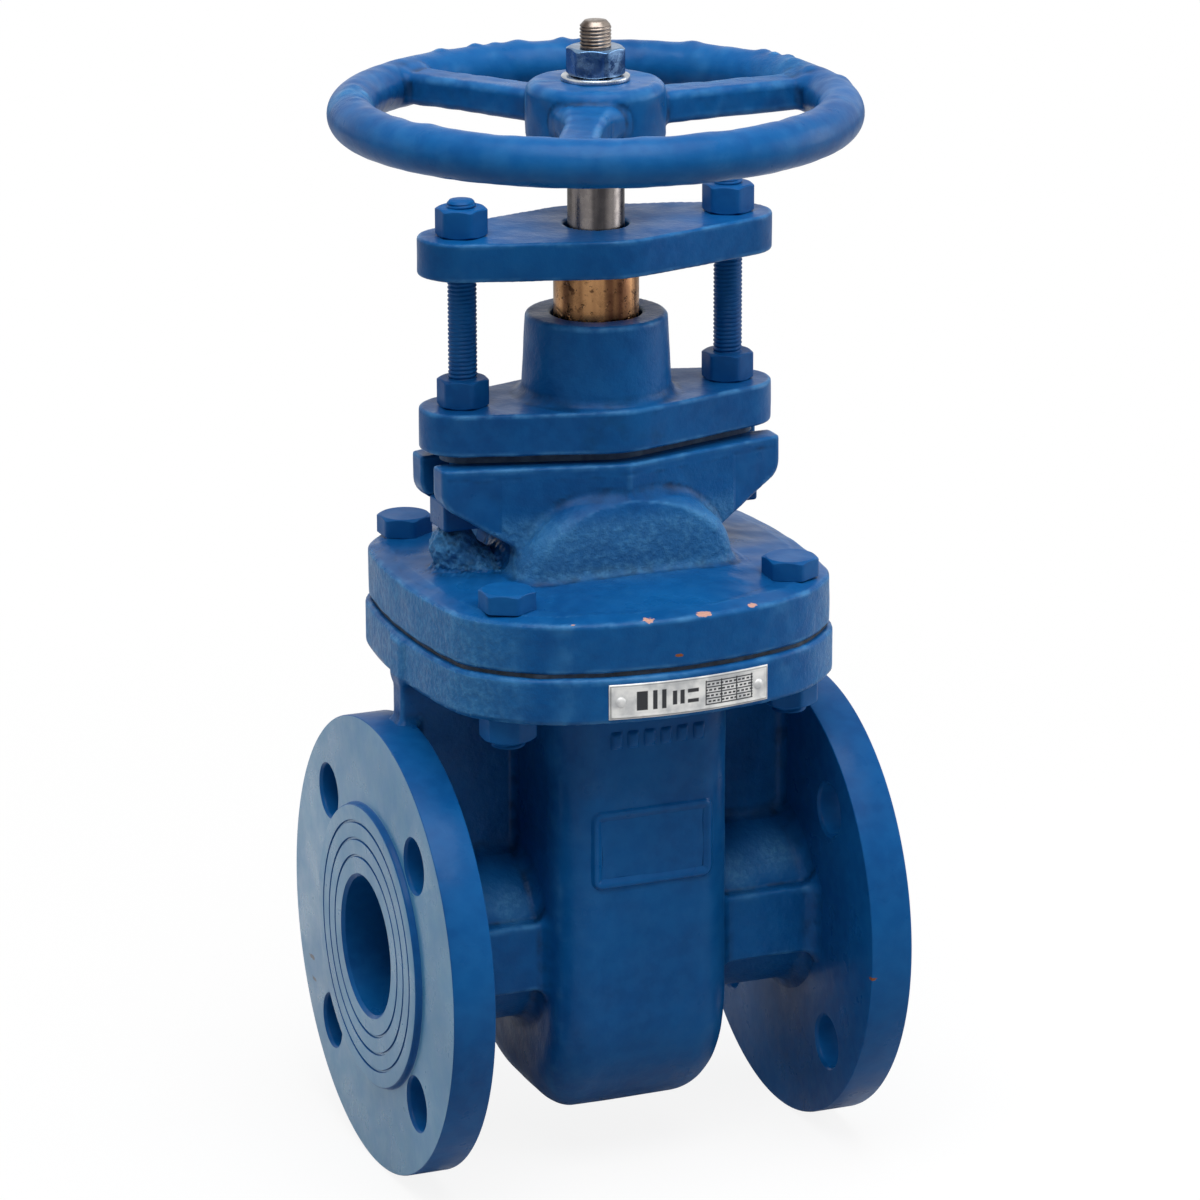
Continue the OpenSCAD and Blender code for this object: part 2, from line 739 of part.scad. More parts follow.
module handwheel_nut() {
    color(zinc) on_stem() translate([0, 0, hub_top + washer_t]) difference() {
        hex(wheel_nut_af, wheel_nut_h);
        translate([0, 0, -cut])
            cylinder(d = wheel_thread_d + 2 * fit_clear, h = wheel_nut_h + 2 * cut);
    }
}

module rating_plate() {
    bend_r = oval_front_r;
    bend_y = oval_front_r - oval_depth / 2;
    color(plate_metal) on_stem() translate([0, bend_y, body_flange_z + plate_lift]) intersection() {
        difference() {
            cylinder(r = bend_r + plate_t, h = plate_h, $fn = 180);
            translate([0, 0, -cut]) cylinder(r = bend_r, h = plate_h + 2 * cut, $fn = 180);
        }
        translate([plate_shift - plate_w / 2, -2 * bend_r, 0]) cube([plate_w, 2 * bend_r, plate_h]);
    }
}

module plate_rivets() {
    bend_y = oval_front_r - oval_depth / 2;
    lean = asin((plate_w / 2 - rivet_inset) / oval_front_r);
    middle = asin(plate_shift / oval_front_r);
    plate_mid_z = body_flange_z + plate_lift + plate_h / 2;
    color(plate_metal) on_stem() translate([0, bend_y, plate_mid_z])
        for (s = [-1, 1]) rotate(middle + s * lean)
            translate([0, -oval_front_r - plate_t, 0]) rotate([90, 0, 0]) cylinder(d = rivet_d, h = rivet_h);
}

valve_body();
seat_ring(-1);  // seat_ring_inlet
seat_ring(1);  // seat_ring_outlet
gate_wedge();
gate_nut();
joint_gasket();
bonnet();
bonnet_bolt(-1, -1);  // bonnet_bolt_front_left
bonnet_bolt(1, -1);  // bonnet_bolt_front_right
bonnet_bolt(-1, 1);  // bonnet_bolt_back_left
bonnet_bolt(1, 1);  // bonnet_bolt_back_right
bonnet_nut(-1, -1);  // bonnet_nut_front_left
bonnet_nut(1, -1);  // bonnet_nut_front_right
bonnet_nut(-1, 1);  // bonnet_nut_back_left
bonnet_nut(1, 1);  // bonnet_nut_back_right
stuffing_box_gasket();
stuffing_box();
stem_packing();
gland_bush();
gland_plate();
gland_stud(-1);  // gland_stud_left
gland_stud(1);  // gland_stud_right
stud_nut(-1, box_flange_top);  // stuffing_box_nut_left
stud_nut(1, box_flange_top);  // stuffing_box_nut_right
stud_nut(-1, gland_plate_top);  // gland_nut_left
stud_nut(1, gland_plate_top);  // gland_nut_right
stem();
handwheel();
handwheel_washer();
handwheel_nut();
rating_plate();
plate_rivets();
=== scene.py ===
"""The flanged gate valve as it looks: castings, fasteners, threads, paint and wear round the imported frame.

Shapes are worked out in millimetres, with x = 0 on the stem axis, and turned into the frame's
metres when their mesh is made. A casting is a distance field, whose surface is meshed on a grid.
"""
import math

import bpy
import numpy as np
from mathutils import Matrix, Vector


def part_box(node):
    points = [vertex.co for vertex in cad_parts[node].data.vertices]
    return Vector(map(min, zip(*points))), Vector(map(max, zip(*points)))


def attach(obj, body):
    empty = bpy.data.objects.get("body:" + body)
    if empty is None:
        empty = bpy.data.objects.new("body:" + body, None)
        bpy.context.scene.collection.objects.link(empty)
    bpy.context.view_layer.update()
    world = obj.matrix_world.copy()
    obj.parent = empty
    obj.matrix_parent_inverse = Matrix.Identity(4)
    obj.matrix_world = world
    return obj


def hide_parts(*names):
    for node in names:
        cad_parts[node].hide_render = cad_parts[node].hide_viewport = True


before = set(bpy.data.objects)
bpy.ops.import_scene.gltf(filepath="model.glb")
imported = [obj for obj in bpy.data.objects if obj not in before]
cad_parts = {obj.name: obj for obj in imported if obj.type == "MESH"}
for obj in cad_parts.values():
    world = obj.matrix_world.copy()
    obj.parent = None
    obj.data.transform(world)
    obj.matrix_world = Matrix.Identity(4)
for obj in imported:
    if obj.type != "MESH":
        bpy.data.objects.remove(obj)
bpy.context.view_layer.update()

STEM_X = 89.0
BODY = "valve"
WHEEL = "stem_and_wheel"


# ---- meshes

def span(node):
    """Lowest and highest corner of a CAD node, in millimetres about the stem."""
    lo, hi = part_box(node)
    shift = Vector((STEM_X, 0, 0))
    return lo * 1000 - shift, hi * 1000 - shift


def add_object(name, data):
    obj = bpy.data.objects.new(name, data)
    bpy.context.scene.collection.objects.link(obj)
    return obj


def piece(name, verts, faces, material, body, slot, node=None, normals=None, sharp=None):
    """A named mesh in the frame, from millimetre points, riding on a body."""
    points = (np.asarray(verts, float) + (STEM_X, 0, 0)) / 1000
    mesh = bpy.data.meshes.new(name)
    mesh.from_pydata(points.tolist(), [], [tuple(f) for f in faces])
    mesh.validate()
    mesh.polygons.foreach_set("use_smooth", np.ones(len(mesh.polygons), bool))
    if sharp is not None:
        mesh.set_sharp_from_angle(angle=math.radians(sharp))
    if normals is not None:
        mesh.normals_split_custom_set_from_vertices(normals.tolist())
    mesh.materials.append(material)
    obj = add_object(name, mesh)
    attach(obj, body)
    if node:
        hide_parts(node)
    return obj


def paint(obj, name, values):
    """Stores one number per vertex, for a material to read."""
    layer = obj.data.attributes.new(name, "FLOAT", "POINT")
    layer.data.foreach_set("value", np.asarray(values, np.float32))


def bevel(obj, width, segments=2, angle=30):
    mod = obj.modifiers.new("soft_edges", "BEVEL")
    mod.width = width / 1000
    mod.segments = segments
    mod.limit_method = "ANGLE"
    mod.angle_limit = math.radians(angle)
    mod.harden_normals = True


def soften(points, radius, steps=4):
    """A polyline with each inner corner rounded."""
    out = [points[0]]
    for before, here, after in zip(points, points[1:], points[2:]):
        p, q, r = (np.array(v, float) for v in (before, here, after))
        a, b = p - q, r - q
        la, lb = np.linalg.norm(a), np.linalg.norm(b)
        reach = min(radius, 0.45 * la, 0.45 * lb)
        start, end = q + a / la * reach, q + b / lb * reach
        for i in range(steps + 1):
            t = i / steps
            out.append(tuple((1 - t) ** 2 * start + 2 * t * (1 - t) * q + t * t * end))
    out.append(points[-1])
    return out


def around(segments):
    return np.arange(segments) * 2 * math.pi / segments


def ring_points(r, angle, h):
    return np.stack((r * np.cos(angle), r * np.sin(angle), h), -1).reshape(-1, 3)


def tube_faces(rings, segments, closed=False):
    """Faces between rings of points, with a cap at both ends unless the last ring meets the first."""
    faces = []
    for i in range(rings if closed else rings - 1):
        j = (i + 1) % rings
        for k in range(segments):
            n = (k + 1) % segments
            faces.append((i * segments + k, i * segments + n, j * segments + n, j * segments + k))
    if not closed:
        faces.append(tuple(range(segments - 1, -1, -1)))
        faces.append(tuple((rings - 1) * segments + k for k in range(segments)))
    return faces


def turned(profile, segments, closed=False, axis="Z", centre=(0, 0, 0)):
    """Points and faces of a profile of (radius, height) pairs turned about an axis."""
    angle = around(segments)
    r = np.array([p[0] for p in profile])[:, None]
    h = np.array([p[1] for p in profile])[:, None] + 0 * angle
    u, v = r * np.cos(angle), r * np.sin(angle)
    verts = np.stack((u, v, h) if axis == "Z" else (h, u, v), -1).reshape(-1, 3) + centre
    return verts, tube_faces(len(profile), segments, closed)


HEX_CORNER = 0.97        # reach of a hexagon's rounded corner, as a share of a sharp one's
HEX_FACE = 0.95          # radius of its flat end, as a share of half its width
HEX_CHAMFER = math.radians(28)
HEX_SEGMENTS = 72


def hex_radius(angle, flats):
    """Distance from the axis to a hexagon's side, its corners along Y and a little rounded."""
    wedge = math.pi / 3
    off = np.mod(angle + wedge / 2, wedge) - wedge / 2
    return np.minimum(flats / 2 / np.cos(off), flats / math.sqrt(3) * HEX_CORNER)


def hexagon(name, flats, low, high, centre, material, body, slot, node, bottom_cut=False):
    """A hexagon head or nut with its corners turned off at the top, and at the bottom of a nut."""
    angle = around(HEX_SEGMENTS)
    rim = hex_radius(angle, flats)
    face = np.full(HEX_SEGMENTS, flats / 2 * HEX_FACE)
    fall = (rim - face) * math.tan(HEX_CHAMFER)
    bottom, top = np.full(HEX_SEGMENTS, float(low)), np.full(HEX_SEGMENTS, float(high))
    rings = [(face, bottom), (rim, low + fall)] if bottom_cut else [(rim, bottom)]
    rings += [(rim, high - fall), (face, top)]
    verts = np.concatenate([ring_points(r, angle, h) for r, h in rings])
    faces = tube_faces(len(rings), HEX_SEGMENTS)
    obj = piece(name, verts + (centre[0], centre[1], 0), faces, material, body, slot, node, sharp=20)
    bevel(obj, 0.45, 2, 18)
    return obj


THREAD_SEGMENTS = 28
THREAD_RINGS = 5         # to each turn
THREAD_CREST = 1.35      # how much of the V its flat crest cuts off
TIP_TAPER = 0.9


def threaded(name, radius, pitch, low, high, centre, material, body, slot, node, depth, tip=1.0):
    """A rod with a helical V thread, and a chamfered end whose cut is `tip` deep."""
    steps = int((high - low) / pitch * THREAD_RINGS)
    angle = around(THREAD_SEGMENTS)
    height = np.linspace(low, high, steps + 1)[:, None] + 0 * angle
    phase = np.mod(height / pitch - angle / (2 * math.pi), 1)
    ridge = 1 - np.abs(2 * phase - 1)
    r = radius - depth * (1 - np.clip(ridge * THREAD_CREST, 0, 1))
    r = np.minimum(r, radius - tip + (high - height) * TIP_TAPER)
    verts = ring_points(r, angle, height)
    faces = tube_faces(steps + 1, THREAD_SEGMENTS)
    piece(name, verts + (centre[0], centre[1], 0), faces, material, body, slot, node, sharp=50)


# ---- distance fields

def join(a, b, r):
    """Union of two fields with a fillet of radius r between them."""
    return np.maximum(r, np.minimum(a, b)) - np.hypot(np.maximum(r - a, 0), np.maximum(r - b, 0))


def meet(a, b, r):
    """Common part of two fields, with the edge between them rounded to radius r."""
    return np.minimum(-r, np.maximum(a, b)) + np.hypot(np.maximum(r + a, 0), np.maximum(r + b, 0))


def between(v, low, high):
    return np.maximum(low - v, v - high)


def blob(x, y, z, centre, half):
    """An ellipsoid about a centre, with its half sizes along x, y and z."""
    far = sum(((v - c) / h) ** 2 for v, c, h in zip((x, y, z), centre, half))
    return (np.sqrt(far) - 1) * half[2]


def rounded_box(u, v, half_u, half_v, r):
    a, b = np.abs(u) - half_u + r, np.abs(v) - half_v + r
    return np.minimum(np.maximum(a, b), 0) + np.hypot(np.maximum(a, 0), np.maximum(b, 0)) - r


def ripple(x, y, z, size, amount):
    """A slow unevenness, as sand casting leaves it."""
    k = 2 * math.pi / size
    wave = np.sin(k * x + 1.7 * np.sin(k * 0.7 * y)) * np.sin(k * 0.9 * y + 1.3 * np.sin(k * z * 0.8))
    wave = wave + 0.6 * np.sin(k * 1.9 * z + 2.1 * np.sin(k * 1.3 * x)) * np.sin(k * 2.1 * y + 0.8)
    return amount * wave


GRADIENT_REACH = 0.06
BEND_REACH = 0.8         # how far round a point its curvature is felt for
EDGE_GAIN = 1.6          # curvature, in 1/mm, to how far an edge is paled, as worn paint and as a painted highlight
HOLLOW_GAIN = 3.0        # and to how dark a corner is painted, as painted shade


def slope_of(field, points):
    """Value and gradient of a field at some points."""
    value = field(points[:, 0], points[:, 1], points[:, 2])
    grad = np.empty_like(points)
    for i in range(3):
        step = np.zeros(3)
        step[i] = GRADIENT_REACH
        ahead, behind = points + step, points - step
        grad[:, i] = (field(*ahead.T) - field(*behind.T)) / (2 * GRADIENT_REACH)
    return value, grad


def curvature(field, points, reach):
    """Positive on outer edges and negative in corners, in 1/mm."""
    total = -6 * field(*points.T)
    for i in range(3):
        step = np.zeros(3)
        step[i] = reach
        total = total + field(*(points + step).T) + field(*(points - step).T)
    return total / reach ** 2


def skin(field, low, high, cell):
    """Points, faces and normals of a field's surface, by surface nets and a few Newton steps."""
    axes = [np.arange(low[i] - 1.6 * cell, high[i] + 1.6 * cell, cell) for i in range(3)]
    value = field(axes[0][:, None, None], axes[1][None, :, None], axes[2][None, None, :]).astype(np.float32)
    inside = value < 0
    shape = tuple(n - 1 for n in value.shape)
    corners = [(i, j, k) for i in (0, 1) for j in (0, 1) for k in (0, 1)]
    filled = np.zeros(shape, np.int8)
    for i, j, k in corners:
        filled += inside[i:i + shape[0], j:j + shape[1], k:k + shape[2]]
    cells = np.argwhere((filled > 0) & (filled < 8))
    index = np.full(shape, -1, np.int64)
    index[tuple(cells.T)] = np.arange(len(cells))
    total, count = np.zeros((len(cells), 3)), np.zeros(len(cells))
    for a in corners:
        for axis in range(3):
            if a[axis]:
                continue
            b = tuple(v + (n == axis) for n, v in enumerate(a))
            p, q = value[tuple((cells + a).T)], value[tuple((cells + b).T)]
            cross = (p < 0) != (q < 0)
            t = np.where(cross, p / np.where(cross, p - q, 1), 0)
            where = np.array(a, float) + t[:, None] * (np.arange(3) == axis)
            total += where * cross[:, None]
            count += cross
    points = (cells + total / count[:, None]) * cell + [a[0] for a in axes]
    for _ in range(4):
        value_at, grad = slope_of(field, points)
        length = np.maximum((grad ** 2).sum(1), 0.05)
        points -= grad * np.clip(value_at / length, -cell / 2, cell / 2)[:, None]
    normals = slope_of(field, points)[1]
    normals /= np.maximum(np.linalg.norm(normals, axis=1), 1e-6)[:, None]
    return points, net_faces(inside, index), normals


def net_faces(inside, index):
    """One quad round each grid edge that the surface crosses, facing out."""
    faces = []
    for axis in range(3):
        u, v = (axis + 1) % 3, (axis + 2) % 3
        n = inside.shape[axis] - 1
        near, far = np.take(inside, range(n), axis), np.take(inside, range(1, n + 1), axis)
        edges = np.argwhere(near != far)
        keep = np.ones(len(edges), bool)
        for d in (u, v):
            keep &= (edges[:, d] > 0) & (edges[:, d] < inside.shape[d] - 1)
        edges = edges[keep]
        out = near[tuple(edges.T)]
        ring = []
        for du, dv in ((0, 0), (-1, 0), (-1, -1), (0, -1)):
            at = edges.copy()
            at[:, u] += du
            at[:, v] += dv
            ring.append(index[tuple(at.T)])
        quads = np.stack(ring, 1)
        quads[~out] = quads[~out][:, ::-1]
        faces.append(quads)
    return np.concatenate(faces)


def casting(name, field, low, high, cell, material, body, slot, node, rough, keep=None):
    """A casting's skin, with how rough each point is and how it bends stored on it; the enamel turns the bend
    into paler edges, partly painted highlight, and darker hollows, painted shade.
    """
    points, faces, normals = skin(field, low, high, cell)
    if keep is not None:
        faces = faces[keep(points[faces].mean(1))]
        used = np.unique(faces)
        renumber = np.full(len(points), -1)
        renumber[used] = np.arange(len(used))
        points, normals, faces = points[used], normals[used], renumber[faces]
    obj = piece(name, points, faces, material, body, slot, node, normals=normals)
    bend = curvature(field, points, BEND_REACH)
    paint(obj, "edge", np.clip(bend * EDGE_GAIN, 0, 1))
    paint(obj, "hollow", np.clip(-bend * HOLLOW_GAIN, 0, 1))
    paint(obj, "rough_cast", rough(*points.T))


# ---- sizes

FLANGE_X = 89.0          # raised faces, either side of the stem
FLANGE_T = 18.0
FLANGE_R = 82.5
RAISED_R = 51.0
RAISED_H = 2.5
BORE_R = 25.0
NECK_R = 32.0
HOLE_R = 9.5
HOLE_CIRCLE_R = 62.5
GROOVES = (32.45, 38.65, 44.85)
CHAMBER = (34.0, 49.0)   # half width and half depth
CHAMBER_FLOOR = -68.0
CHAMBER_CORNER = 15.0
BOWL_R = 48.0            # the underside's rounding, seen from the side
BOWL_Z = CHAMBER_FLOOR + BOWL_R
FLOOR_R = 24.0           # and seen from the front
FLOOR_BLEND = 3.0
CAVITY = (24.0, 41.0)    # the hollow's half width and half depth
CAVITY_TURN_Z = -19.0    # where its sides turn into its round floor
SEAT_POCKET = (31.05, 32.6)    # radius, and reach from the middle
NECK_END = 77.0          # how far a neck runs into its flange
NECK_PAD = (52, 22, 12.5, 2.6)    # middle, half length, half height, height above the neck
WEB_HALF = 4.5
FOOT_BOSS = (7.0, 2.0)   # radius and height
OVAL_HALF = (75.5, 79.5)
OVAL_SIDE_R = 250.0
OVAL_FRONT_R = 130.0
OVAL_CORNER_R = 85.5
BODY_FLANGE = (98.0, 114.5)
BONNET_FLANGE = (116.0, 135.0)
BONNET_STEP = 1.2
BONNET_RIM_FALL = 1.5    # how far the top face falls towards the rim, and over what width
BONNET_RIM_WIDTH = 7.0
BONNET_CROWN = (3.0, 71.0, 42.0)    # rise of the top face towards the dome, and the radii it rises between
DOME = (41.0, 38.0)      # half width and half depth
DOME_ARCH_R = 45.0
DOME_TOP = 168.0
DOME_ROUND_Z = 144.0
SLAB_TOP = 176.0
SLAB_HALF = 64.0
SLAB_MID = 31.0
SLAB_END = 15.5
SLAB_SLOPE = math.radians(32)
SLAB_FLANK_DROP = 13.0   # from the slab's top to where its ends start to slope in
SLOT_HALF = 5.9
LEFT_RECESS = (7.8, 39.5)      # half width of the space for a stud's head, and how near the stem it starts
RIGHT_RECESS = (10.6, 42.2)
RECESS_TOP = 162.0
LUMP = ((-54, 0, 144), (8.5, 8.0, 8))    # rough metal left under the left lug: centre and half sizes
SPILL = ((-46, -3, 140), (8, 7, 4.5))
BONNET_HOLLOW = (25, 27, 146)  # half width, half depth, top
BONNET_STEM_R = 10.6
STUD_X = 50.0
BOX_FLANGE = (179.8, 194.8)
BOX_TOP = 223.8
BOX_BOSS = (26.5, 0.052)       # radius at its foot, and how much it narrows to each millimetre of height
BOX_STEM_R = 10.1
PACKING_R = 16.0
GLAND = (241.8, 255.3)
GLAND_MID_R = 30.0
GLAND_END_R = 15.5
GLAND_STEM_R = 11.5
HUB = (283.8, 305.8)
WHEEL_Z = 294.8
WHEEL_R = 84.6
RIM_R = 8.4
HUB_R = 24.5
HUB_SQUARE = 7.1         # half width of the square hole
SPOKE = (7.0, 5.6, 2.6)  # half width, half height, corner
SPOKE_FLARES = (1.0, 1.0, 6.5)
SPOKE_FLARE_LENGTH = 26.0
SPOKE_TURN = math.radians(3)
BODY_CELL = 1.45         # grid steps that the castings are meshed on
BONNET_CELL = 1.05
WHEEL_CELL = 1.1
SMALL_CELL = 0.95


# ---- the castings' forms

def oval(x, y, inset=0.0):
    """Outline of the two bolted oval flanges."""
    side, front = OVAL_SIDE_R - OVAL_HALF[0], OVAL_FRONT_R - OVAL_HALF[1]
    d = np.hypot(x, y) - OVAL_CORNER_R + inset
    for cx in (side, -side):
        d = meet(d, np.hypot(x - cx, y) - OVAL_SIDE_R + inset, 2.5)
    for cy in (front, -front):
        d = meet(d, np.hypot(x, y - cy) - OVAL_FRONT_R + inset, 2.5)
    return d


def gland_outline(x, y):
    """Outline of the gland plate and the box flange: a round middle and two round ends in one tight band."""
    u, v = np.abs(x), np.abs(y)
    fall = (GLAND_MID_R - GLAND_END_R) / STUD_X
    rise = math.sqrt(1 - fall * fall)
    along = rise * u - fall * v
    flank = rise * v + fall * u - GLAND_MID_R
    middle = np.hypot(u, v) - GLAND_MID_R
    tip = np.hypot(u - STUD_X, v) - GLAND_END_R
    return np.where(along < 0, middle, np.where(along > rise * STUD_X, tip, flank))


def chamber_form(x, y, z):
    """The chamber's outside: a flat box, its floor rounded both ways."""
    flat = CHAMBER[1] - BOWL_R
    bowl = np.where(z < BOWL_Z, np.hypot(np.maximum(np.abs(y) - flat, 0), z - BOWL_Z) - BOWL_R,
                    np.abs(y) - CHAMBER[1])
    d = meet(np.abs(x) - CHAMBER[0], bowl, CHAMBER_CORNER)
    inner = CHAMBER[0] - FLOOR_R
    turn_z = CHAMBER_FLOOR + FLOOR_R
    bottom = np.where(z < turn_z, np.hypot(np.maximum(np.abs(x) - inner, 0), z - turn_z) - FLOOR_R,
                      np.abs(x) - CHAMBER[0])
    return meet(meet(d, bottom, FLOOR_BLEND), z - BODY_FLANGE[0] - 6, 1.0)


def neck_pads(x, y, z):
    """The flat cast pads at the level of the axis, front and back of each neck."""
    middle, half_x, half_z, proud = NECK_PAD
    return meet(rounded_box(np.abs(x) - middle, z, half_x, half_z, 2.5), np.abs(y) - NECK_R - proud, 1.5)


def body_form(x, y, z):
    r = np.hypot(y, z)
    ax = np.abs(x)
    neck = np.maximum(r - NECK_R, ax - NECK_END)
    neck = join(neck, meet(np.maximum(neck_pads(x, y, z), CHAMBER[0] - ax), ax - NECK_END, 1), 1.0)
    disc = np.maximum(r - FLANGE_R + 0.8, between(ax, FLANGE_X - FLANGE_T + 0.12, FLANGE_X - 6))
    d = join(neck, disc, 6.0)
    d = join(d, chamber_form(x, y, z), 6.0)
    web = meet(np.abs(y) - WEB_HALF, ax - OVAL_HALF[0] - 0.4, 1.2)
    web = np.maximum(web, between(z, 0, BODY_FLANGE[1] - 3))
    d = join(d, web, 4.0)
    plate = meet(oval(x, y), between(z, *BODY_FLANGE), 1.6)
    d = join(d, plate, 4.0)
    boss = meet(np.hypot(x, y) - FOOT_BOSS[0], between(z, CHAMBER_FLOOR - FOOT_BOSS[1], 0), 0.8)
    d = join(d, boss, 1.5)
    d = d + ripple(x, y, z, 37, 0.10) * np.clip((FLANGE_X - FLANGE_T - ax) / 6, 0, 1)
    low = CAVITY_TURN_Z
    bowl = np.maximum(np.hypot(y, z - low) - CAVITY[1], z - low)
    hollow = np.minimum(np.maximum(rounded_box(x, y, *CAVITY, 3), low - z), np.maximum(ax - CAVITY[0], bowl))
    hollow = np.minimum(hollow, r - BORE_R)
    hollow = np.minimum(hollow, np.maximum(r - SEAT_POCKET[0], ax - SEAT_POCKET[1]))
    return meet(d, -hollow, 0.4)


def towards_ends(x):
    """The oval flanges' sides are rougher towards their left and right ends."""
    return 0.25 + 0.75 * np.clip((np.abs(x) - 44) / 26, 0, 1)


def body_rough(x, y, z):
    side = (z > BODY_FLANGE[0] + 1) & (z < BODY_FLANGE[1] - 1)
    neck = (np.abs(x) > CHAMBER[0] + 2) & (z < 96)
    scabs = sum(np.exp(-((np.abs(x) - cx) / 7) ** 2 - ((z - cz) / 6) ** 2) for cx, cz in ((44, 18), (60, 22)))
    return np.where(side, towards_ends(x), np.where(neck, np.clip(0.4 + 0.6 * scabs * (y < 0), 0, 1), 0.12))


def outside_flanges(centres):
    """Leaves out what lies buried in the turned pipe flanges."""
    r = np.hypot(centres[:, 1], centres[:, 2])
    buried = (np.abs(centres[:, 0]) > FLANGE_X - FLANGE_T + 0.06) & (r < FLANGE_R - 1.5) & (r > BORE_R + 0.5)
    across = HOLE_CIRCLE_R * math.sqrt(0.5)
    from_hole = np.hypot(np.abs(centres[:, 1]) - across, np.abs(centres[:, 2]) - across)
    in_hole = (np.abs(centres[:, 0]) > FLANGE_X - FLANGE_T - 1) & (from_hole < HOLE_R + 2)
    return ~(buried | in_hole)


def dome_form(x, y, z):
    plan = rounded_box(x, y, DOME[0], DOME[1], 14)
    arch = np.hypot(x, z - DOME_TOP + DOME_ARCH_R) - DOME_ARCH_R
    roll = np.where(z > DOME_ROUND_Z, np.hypot(y, z - DOME_ROUND_Z), np.abs(y)) - DOME[1]
    return np.maximum(meet(meet(plan, arch, 5), roll, 8), BONNET_FLANGE[0] - z)


def slab_form(x, y, z):
    ax, ay = np.abs(x), np.abs(y)
    fall = (SLAB_MID - SLAB_END) / SLAB_HALF
    flank = (ay - SLAB_MID + ax * fall) / math.hypot(1, fall)
    plan = meet(flank, ax - SLAB_HALF, 1.8)
    drop = z - SLAB_TOP + SLAB_FLANK_DROP
    slope = (ax - SLAB_HALF) * math.sin(SLAB_SLOPE) - drop * math.cos(SLAB_SLOPE)
    profile = meet(meet(slope, ax - SLAB_HALF, 4.0), z - SLAB_TOP, 1.0)
    return meet(profile, plan, 1.2)


def bonnet_form(x, y, z):
    rim = oval(x, y, BONNET_STEP)
    rise, foot, head = BONNET_CROWN
    crown = rise * np.clip((foot - np.hypot(x, y)) / (foot - head), 0, 1)
    top = z - BONNET_FLANGE[1] - crown + BONNET_RIM_FALL * np.clip(1 + rim / BONNET_RIM_WIDTH, 0, 1)
    plate = meet(rim, np.maximum(BONNET_FLANGE[0] - z, top), 1.3)
    d = join(dome_form(x, y, z), slab_form(x, y, z), 3.0)
    d = join(d, plate, 4.0)
    d = d + ripple(x, y, z, 29, 0.12) * (z < 172)
    slots = np.maximum(np.abs(y) - SLOT_HALF, STUD_X - SLOT_HALF - np.abs(x))
    left = np.maximum(np.maximum(np.abs(y) - LEFT_RECESS[0], x + LEFT_RECESS[1]), z - RECESS_TOP)
    right = np.maximum(np.maximum(np.abs(y) - RIGHT_RECESS[0], RIGHT_RECESS[1] - x), z - RECESS_TOP)
    cut = np.maximum(np.minimum(slots, np.minimum(left, right)), BONNET_FLANGE[1] + rise + 1 - z)
    d = meet(d, -cut, 1.0)
    lump = join(blob(x, y, z, *LUMP), blob(x, y, z, *SPILL), 3.0)
    lump = lump + ripple(x, y, z, 11, 0.4) + ripple(x, z, y, 6.1, 0.3)
    d = join(d, lump, 5.0)
    half_x, half_y, roof = BONNET_HOLLOW
    hollow = np.maximum(np.maximum(np.abs(x) - half_x, np.abs(y) - half_y), z - roof)
    hollow = np.minimum(hollow, np.hypot(x, y) - BONNET_STEM_R)
    return np.maximum(d, -hollow)


def bonnet_rough(x, y, z):
    # The dome's front counts as rough so the enamel paints it paler, partly sand-cast skin and partly painted
    # light on its leaning face
    dome = np.clip((z - BONNET_FLANGE[1] - 1) / 3, 0, 1) * np.clip((166 - z) / 12, 0.25, 0.9)
    dome = dome * (np.abs(y) > 16) * (np.abs(x) < 44)
    dome = np.maximum(dome, (x < -42) * (z < 153) * (z > 138))
    side = (z < BONNET_FLANGE[1] - 2.0) & (z > BONNET_FLANGE[0] + 0.5)
    return np.where(side, towards_ends(x), np.where(z > 172, 0.1, dome))


def box_form(x, y, z):
    plate = meet(gland_outline(x, y), between(z, *BOX_FLANGE), 1.1)
    r = np.hypot(x, y)
    taper = r - BOX_BOSS[0] + (z - BOX_FLANGE[1]) * BOX_BOSS[1]
    boss = meet(taper, between(z, BOX_FLANGE[0] + 2, BOX_TOP), 1.6)
    d = join(plate, boss, 4.0) + ripple(x, y, z, 31, 0.08)
    hollow = np.minimum(r - BOX_STEM_R, np.maximum(r - PACKING_R, BOX_FLANGE[0] + 4 - z))
    return meet(d, -hollow, 1.0)


def box_rough(x, y, z):
    return np.where(z > BOX_FLANGE[1] + 2, 0.3, 0.15)


def gland_rough(x, y, z):
    return np.full_like(x, 0.15)


def gland_form(x, y, z):
    d = meet(gland_outline(x, y), between(z, *GLAND), 1.1) + ripple(x, y, z, 33, 0.07)
    return meet(d, -(np.hypot(x, y) - GLAND_STEM_R), 0.7)


RIM_LUMPS = (   # angle on the rim in degrees, angle round its section, size, height
    (158, 100, 5.0, 1.3), (163, 80, 4.0, 1.1), (167, 112, 4.0, 1.0), (161, 128, 3.5, 1.0),
    (171, 96, 3.5, 0.7), (108, 78, 3.6, 0.9), (98, 76, 3.0, 1.4), (93, 80, 3.0, 0.6), (87, 76, 5.0, 1.0),
    (76, 76, 3.2, 1.2), (71, 80, 3.8, 0.7), (44, 72, 5.0, 1.0), (24, 74, 4.0, 1.4),
    (20, 84, 3.0, 1.3), (16, 70, 3.2, 1.3), (11, 100, 4.5, 1.4), (8, 170, 5.0, 2.2), (358, 150, 4.5, 2.0),
    (2, 110, 4.0, 1.2), (206, 110, 6.0, 0.7), (318, 96, 7.0, 0.6), (351, 60, 5.0, 0.7),
)


